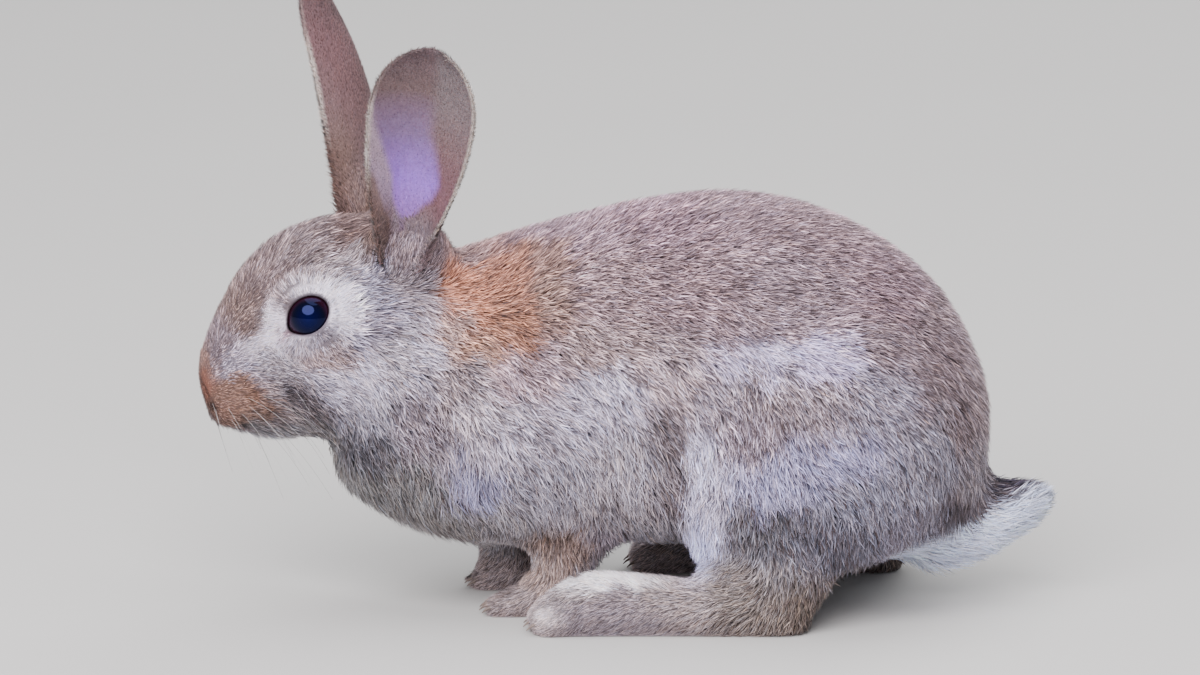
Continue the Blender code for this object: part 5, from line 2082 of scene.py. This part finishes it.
class RABBIT_OT_coat(bpy.types.Operator):
    """Grows the coat over the skin, in pieces"""

    bl_idname = "rabbit.coat"
    bl_label = "Coat"

    def execute(self, context):
        settings = context.scene.rabbit_coat
        skin = read_skin(bpy.data.objects["rabbit_skin"].data)
        owner, middles = skin.owner[skin.tris[:, 0]], skin.points[skin.tris].mean(axis=1)
        material = coat_material(settings)
        rng = np.random.default_rng(settings.seed)
        for name, slot, test in coat_areas():
            tris = skin.tris[test(owner, middles)]
            mesh = grow_piece(name, skin, tris, settings, rng)
            mesh.materials.append(material)
            piece = linked(name, mesh)
            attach(piece, "root")
        return {"FINISHED"}


class RABBIT_OT_whiskers(bpy.types.Operator):
    """Sets the whiskers on the lip pads, brows and cheeks"""

    bl_idname = "rabbit.whiskers"
    bl_label = "Whiskers"

    def execute(self, context):
        settings = context.scene.rabbit_whiskers
        skin = bpy.data.objects["rabbit_skin"].data
        points = to_body(mesh_points(skin))
        tree = BVHTree.FromPolygons([Vector(p) for p in points], mesh_triangles(skin).tolist())
        shoots = sprout_tree("whisker_shoots", whisker_material())
        values = {
            "Root Radius": settings.root_radius, "Bend": settings.bend,
            "Unevenness": 0.12, "Steps": 10, "Seed": settings.seed,
        }
        whiskers = sprouted("whiskers", whisker_roots(tree, settings), shoots, values)
        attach(whiskers, "root")
        return {"FINISHED"}


class RABBIT_OT_claws(bpy.types.Operator):
    """Sets a claw at the end of each toe"""

    bl_idname = "rabbit.claws"
    bl_label = "Claws"

    def execute(self, context):
        settings = context.scene.rabbit_claws
        shoots = sprout_tree("claw_shoots", claw_material(settings))
        values = {
            "Root Radius": settings.root_radius, "Tip Radius": 0.00012, "Bend": settings.bend,
            "Sides": 8, "Steps": 7,
        }
        claws = sprouted("claws", claw_roots(), shoots, values)
        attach(claws, "root")
        return {"FINISHED"}


class RABBIT_OT_stage(bpy.types.Operator):
    """Sets the floor, the lights and the camera"""

    bl_idname = "rabbit.stage"
    bl_label = "Stage"

    def execute(self, context):
        settings = context.scene.rabbit_stage
        low, high = (Vector(corner) for corner in CAD_BOX)
        middle = (low + high) / 2
        half = settings.floor_size / 2
        corners = [(-half, -half, 0), (half, -half, 0), (half, half, 0), (-half, half, 0)]
        mesh = bpy.data.meshes.new("floor")
        mesh.from_pydata(corners, [], [(0, 1, 2, 3)])
        mesh.materials.append(floor_material(settings))
        linked("floor", mesh, "stage")

        eye = Vector(to_frame(mirrored(EYE_CENTRE, LEFT)))
        key, top, back = settings.key_power, settings.top_power, BACK_SHARE * settings.key_power
        key_place = eye + Vector(KEY_WAY).normalized() * KEY_DISTANCE
        soft_light("key_light", key_place, eye, (1.6, 1.2), key, (1.0, 0.955, 0.98))
        soft_light("top_light", middle + Vector(TOP_PLACE), middle, (2.4, 2.0), top, (1.0, 0.975, 1.0))
        soft_light("back_light", middle + Vector(BACK_PLACE), middle, (1.6, 1.2), back, (1.0, 1.0, 1.0))

        world = bpy.data.worlds.new("pale_sky")
        world.use_nodes = True
        background = world.node_tree.nodes["Background"]
        background.inputs["Color"].default_value = SKY_COLOUR
        background.inputs["Strength"].default_value = settings.sky_strength
        context.scene.world = world

        camera = bpy.data.cameras.new("camera")
        camera.sensor_width = SENSOR_WIDTH
        camera.lens = SENSOR_WIDTH * settings.distance / settings.framed_width
        camera.clip_end = 60.0
        obj = linked("camera", camera, "stage")
        target = Vector((middle.x - AIM_AHEAD, middle.y, AIM_HEIGHT))
        back_way = Vector((0.0, -math.cos(settings.elevation), math.sin(settings.elevation)))
        aimed(obj, target + back_way * settings.distance, target)
        context.scene.camera = obj
        return {"FINISHED"}


class RABBIT_PT_looks(bpy.types.Panel):
    """Lists the rabbit's pieces and their settings"""

    bl_label = "Rabbit"
    bl_idname = "RABBIT_PT_looks"
    bl_space_type = "VIEW_3D"
    bl_region_type = "UI"
    bl_category = "Rabbit"

    def draw(self, context):
        for operator, name, _ in STEPS:
            box = self.layout.box()
            box.operator(operator.bl_idname)
            settings = getattr(context.scene, name)
            for label in settings.__annotations__:
                box.prop(settings, label)


# Each operator, with its settings' name on the scene and their class.
STEPS = [
    (RABBIT_OT_skin, "rabbit_skin", SkinSettings),
    (RABBIT_OT_eyes, "rabbit_eyes", EyeSettings),
    (RABBIT_OT_coat, "rabbit_coat", CoatSettings),
    (RABBIT_OT_whiskers, "rabbit_whiskers", WhiskerSettings),
    (RABBIT_OT_claws, "rabbit_claws", ClawSettings),
    (RABBIT_OT_stage, "rabbit_stage", StageSettings),
]


def register():
    for operator, name, settings in STEPS:
        bpy.utils.register_class(settings)
        setattr(bpy.types.Scene, name, PointerProperty(type=settings))
        bpy.utils.register_class(operator)
    bpy.utils.register_class(RABBIT_PT_looks)


def unregister():
    bpy.utils.unregister_class(RABBIT_PT_looks)
    for operator, name, settings in reversed(STEPS):
        bpy.utils.unregister_class(operator)
        delattr(bpy.types.Scene, name)
        bpy.utils.unregister_class(settings)


def main():
    register()
    bpy.ops.rabbit.skin()
    bpy.ops.rabbit.eyes()
    bpy.ops.rabbit.coat()
    bpy.ops.rabbit.whiskers()
    bpy.ops.rabbit.claws()
    bpy.ops.rabbit.stage()


if __name__ == "__main__":
    main()
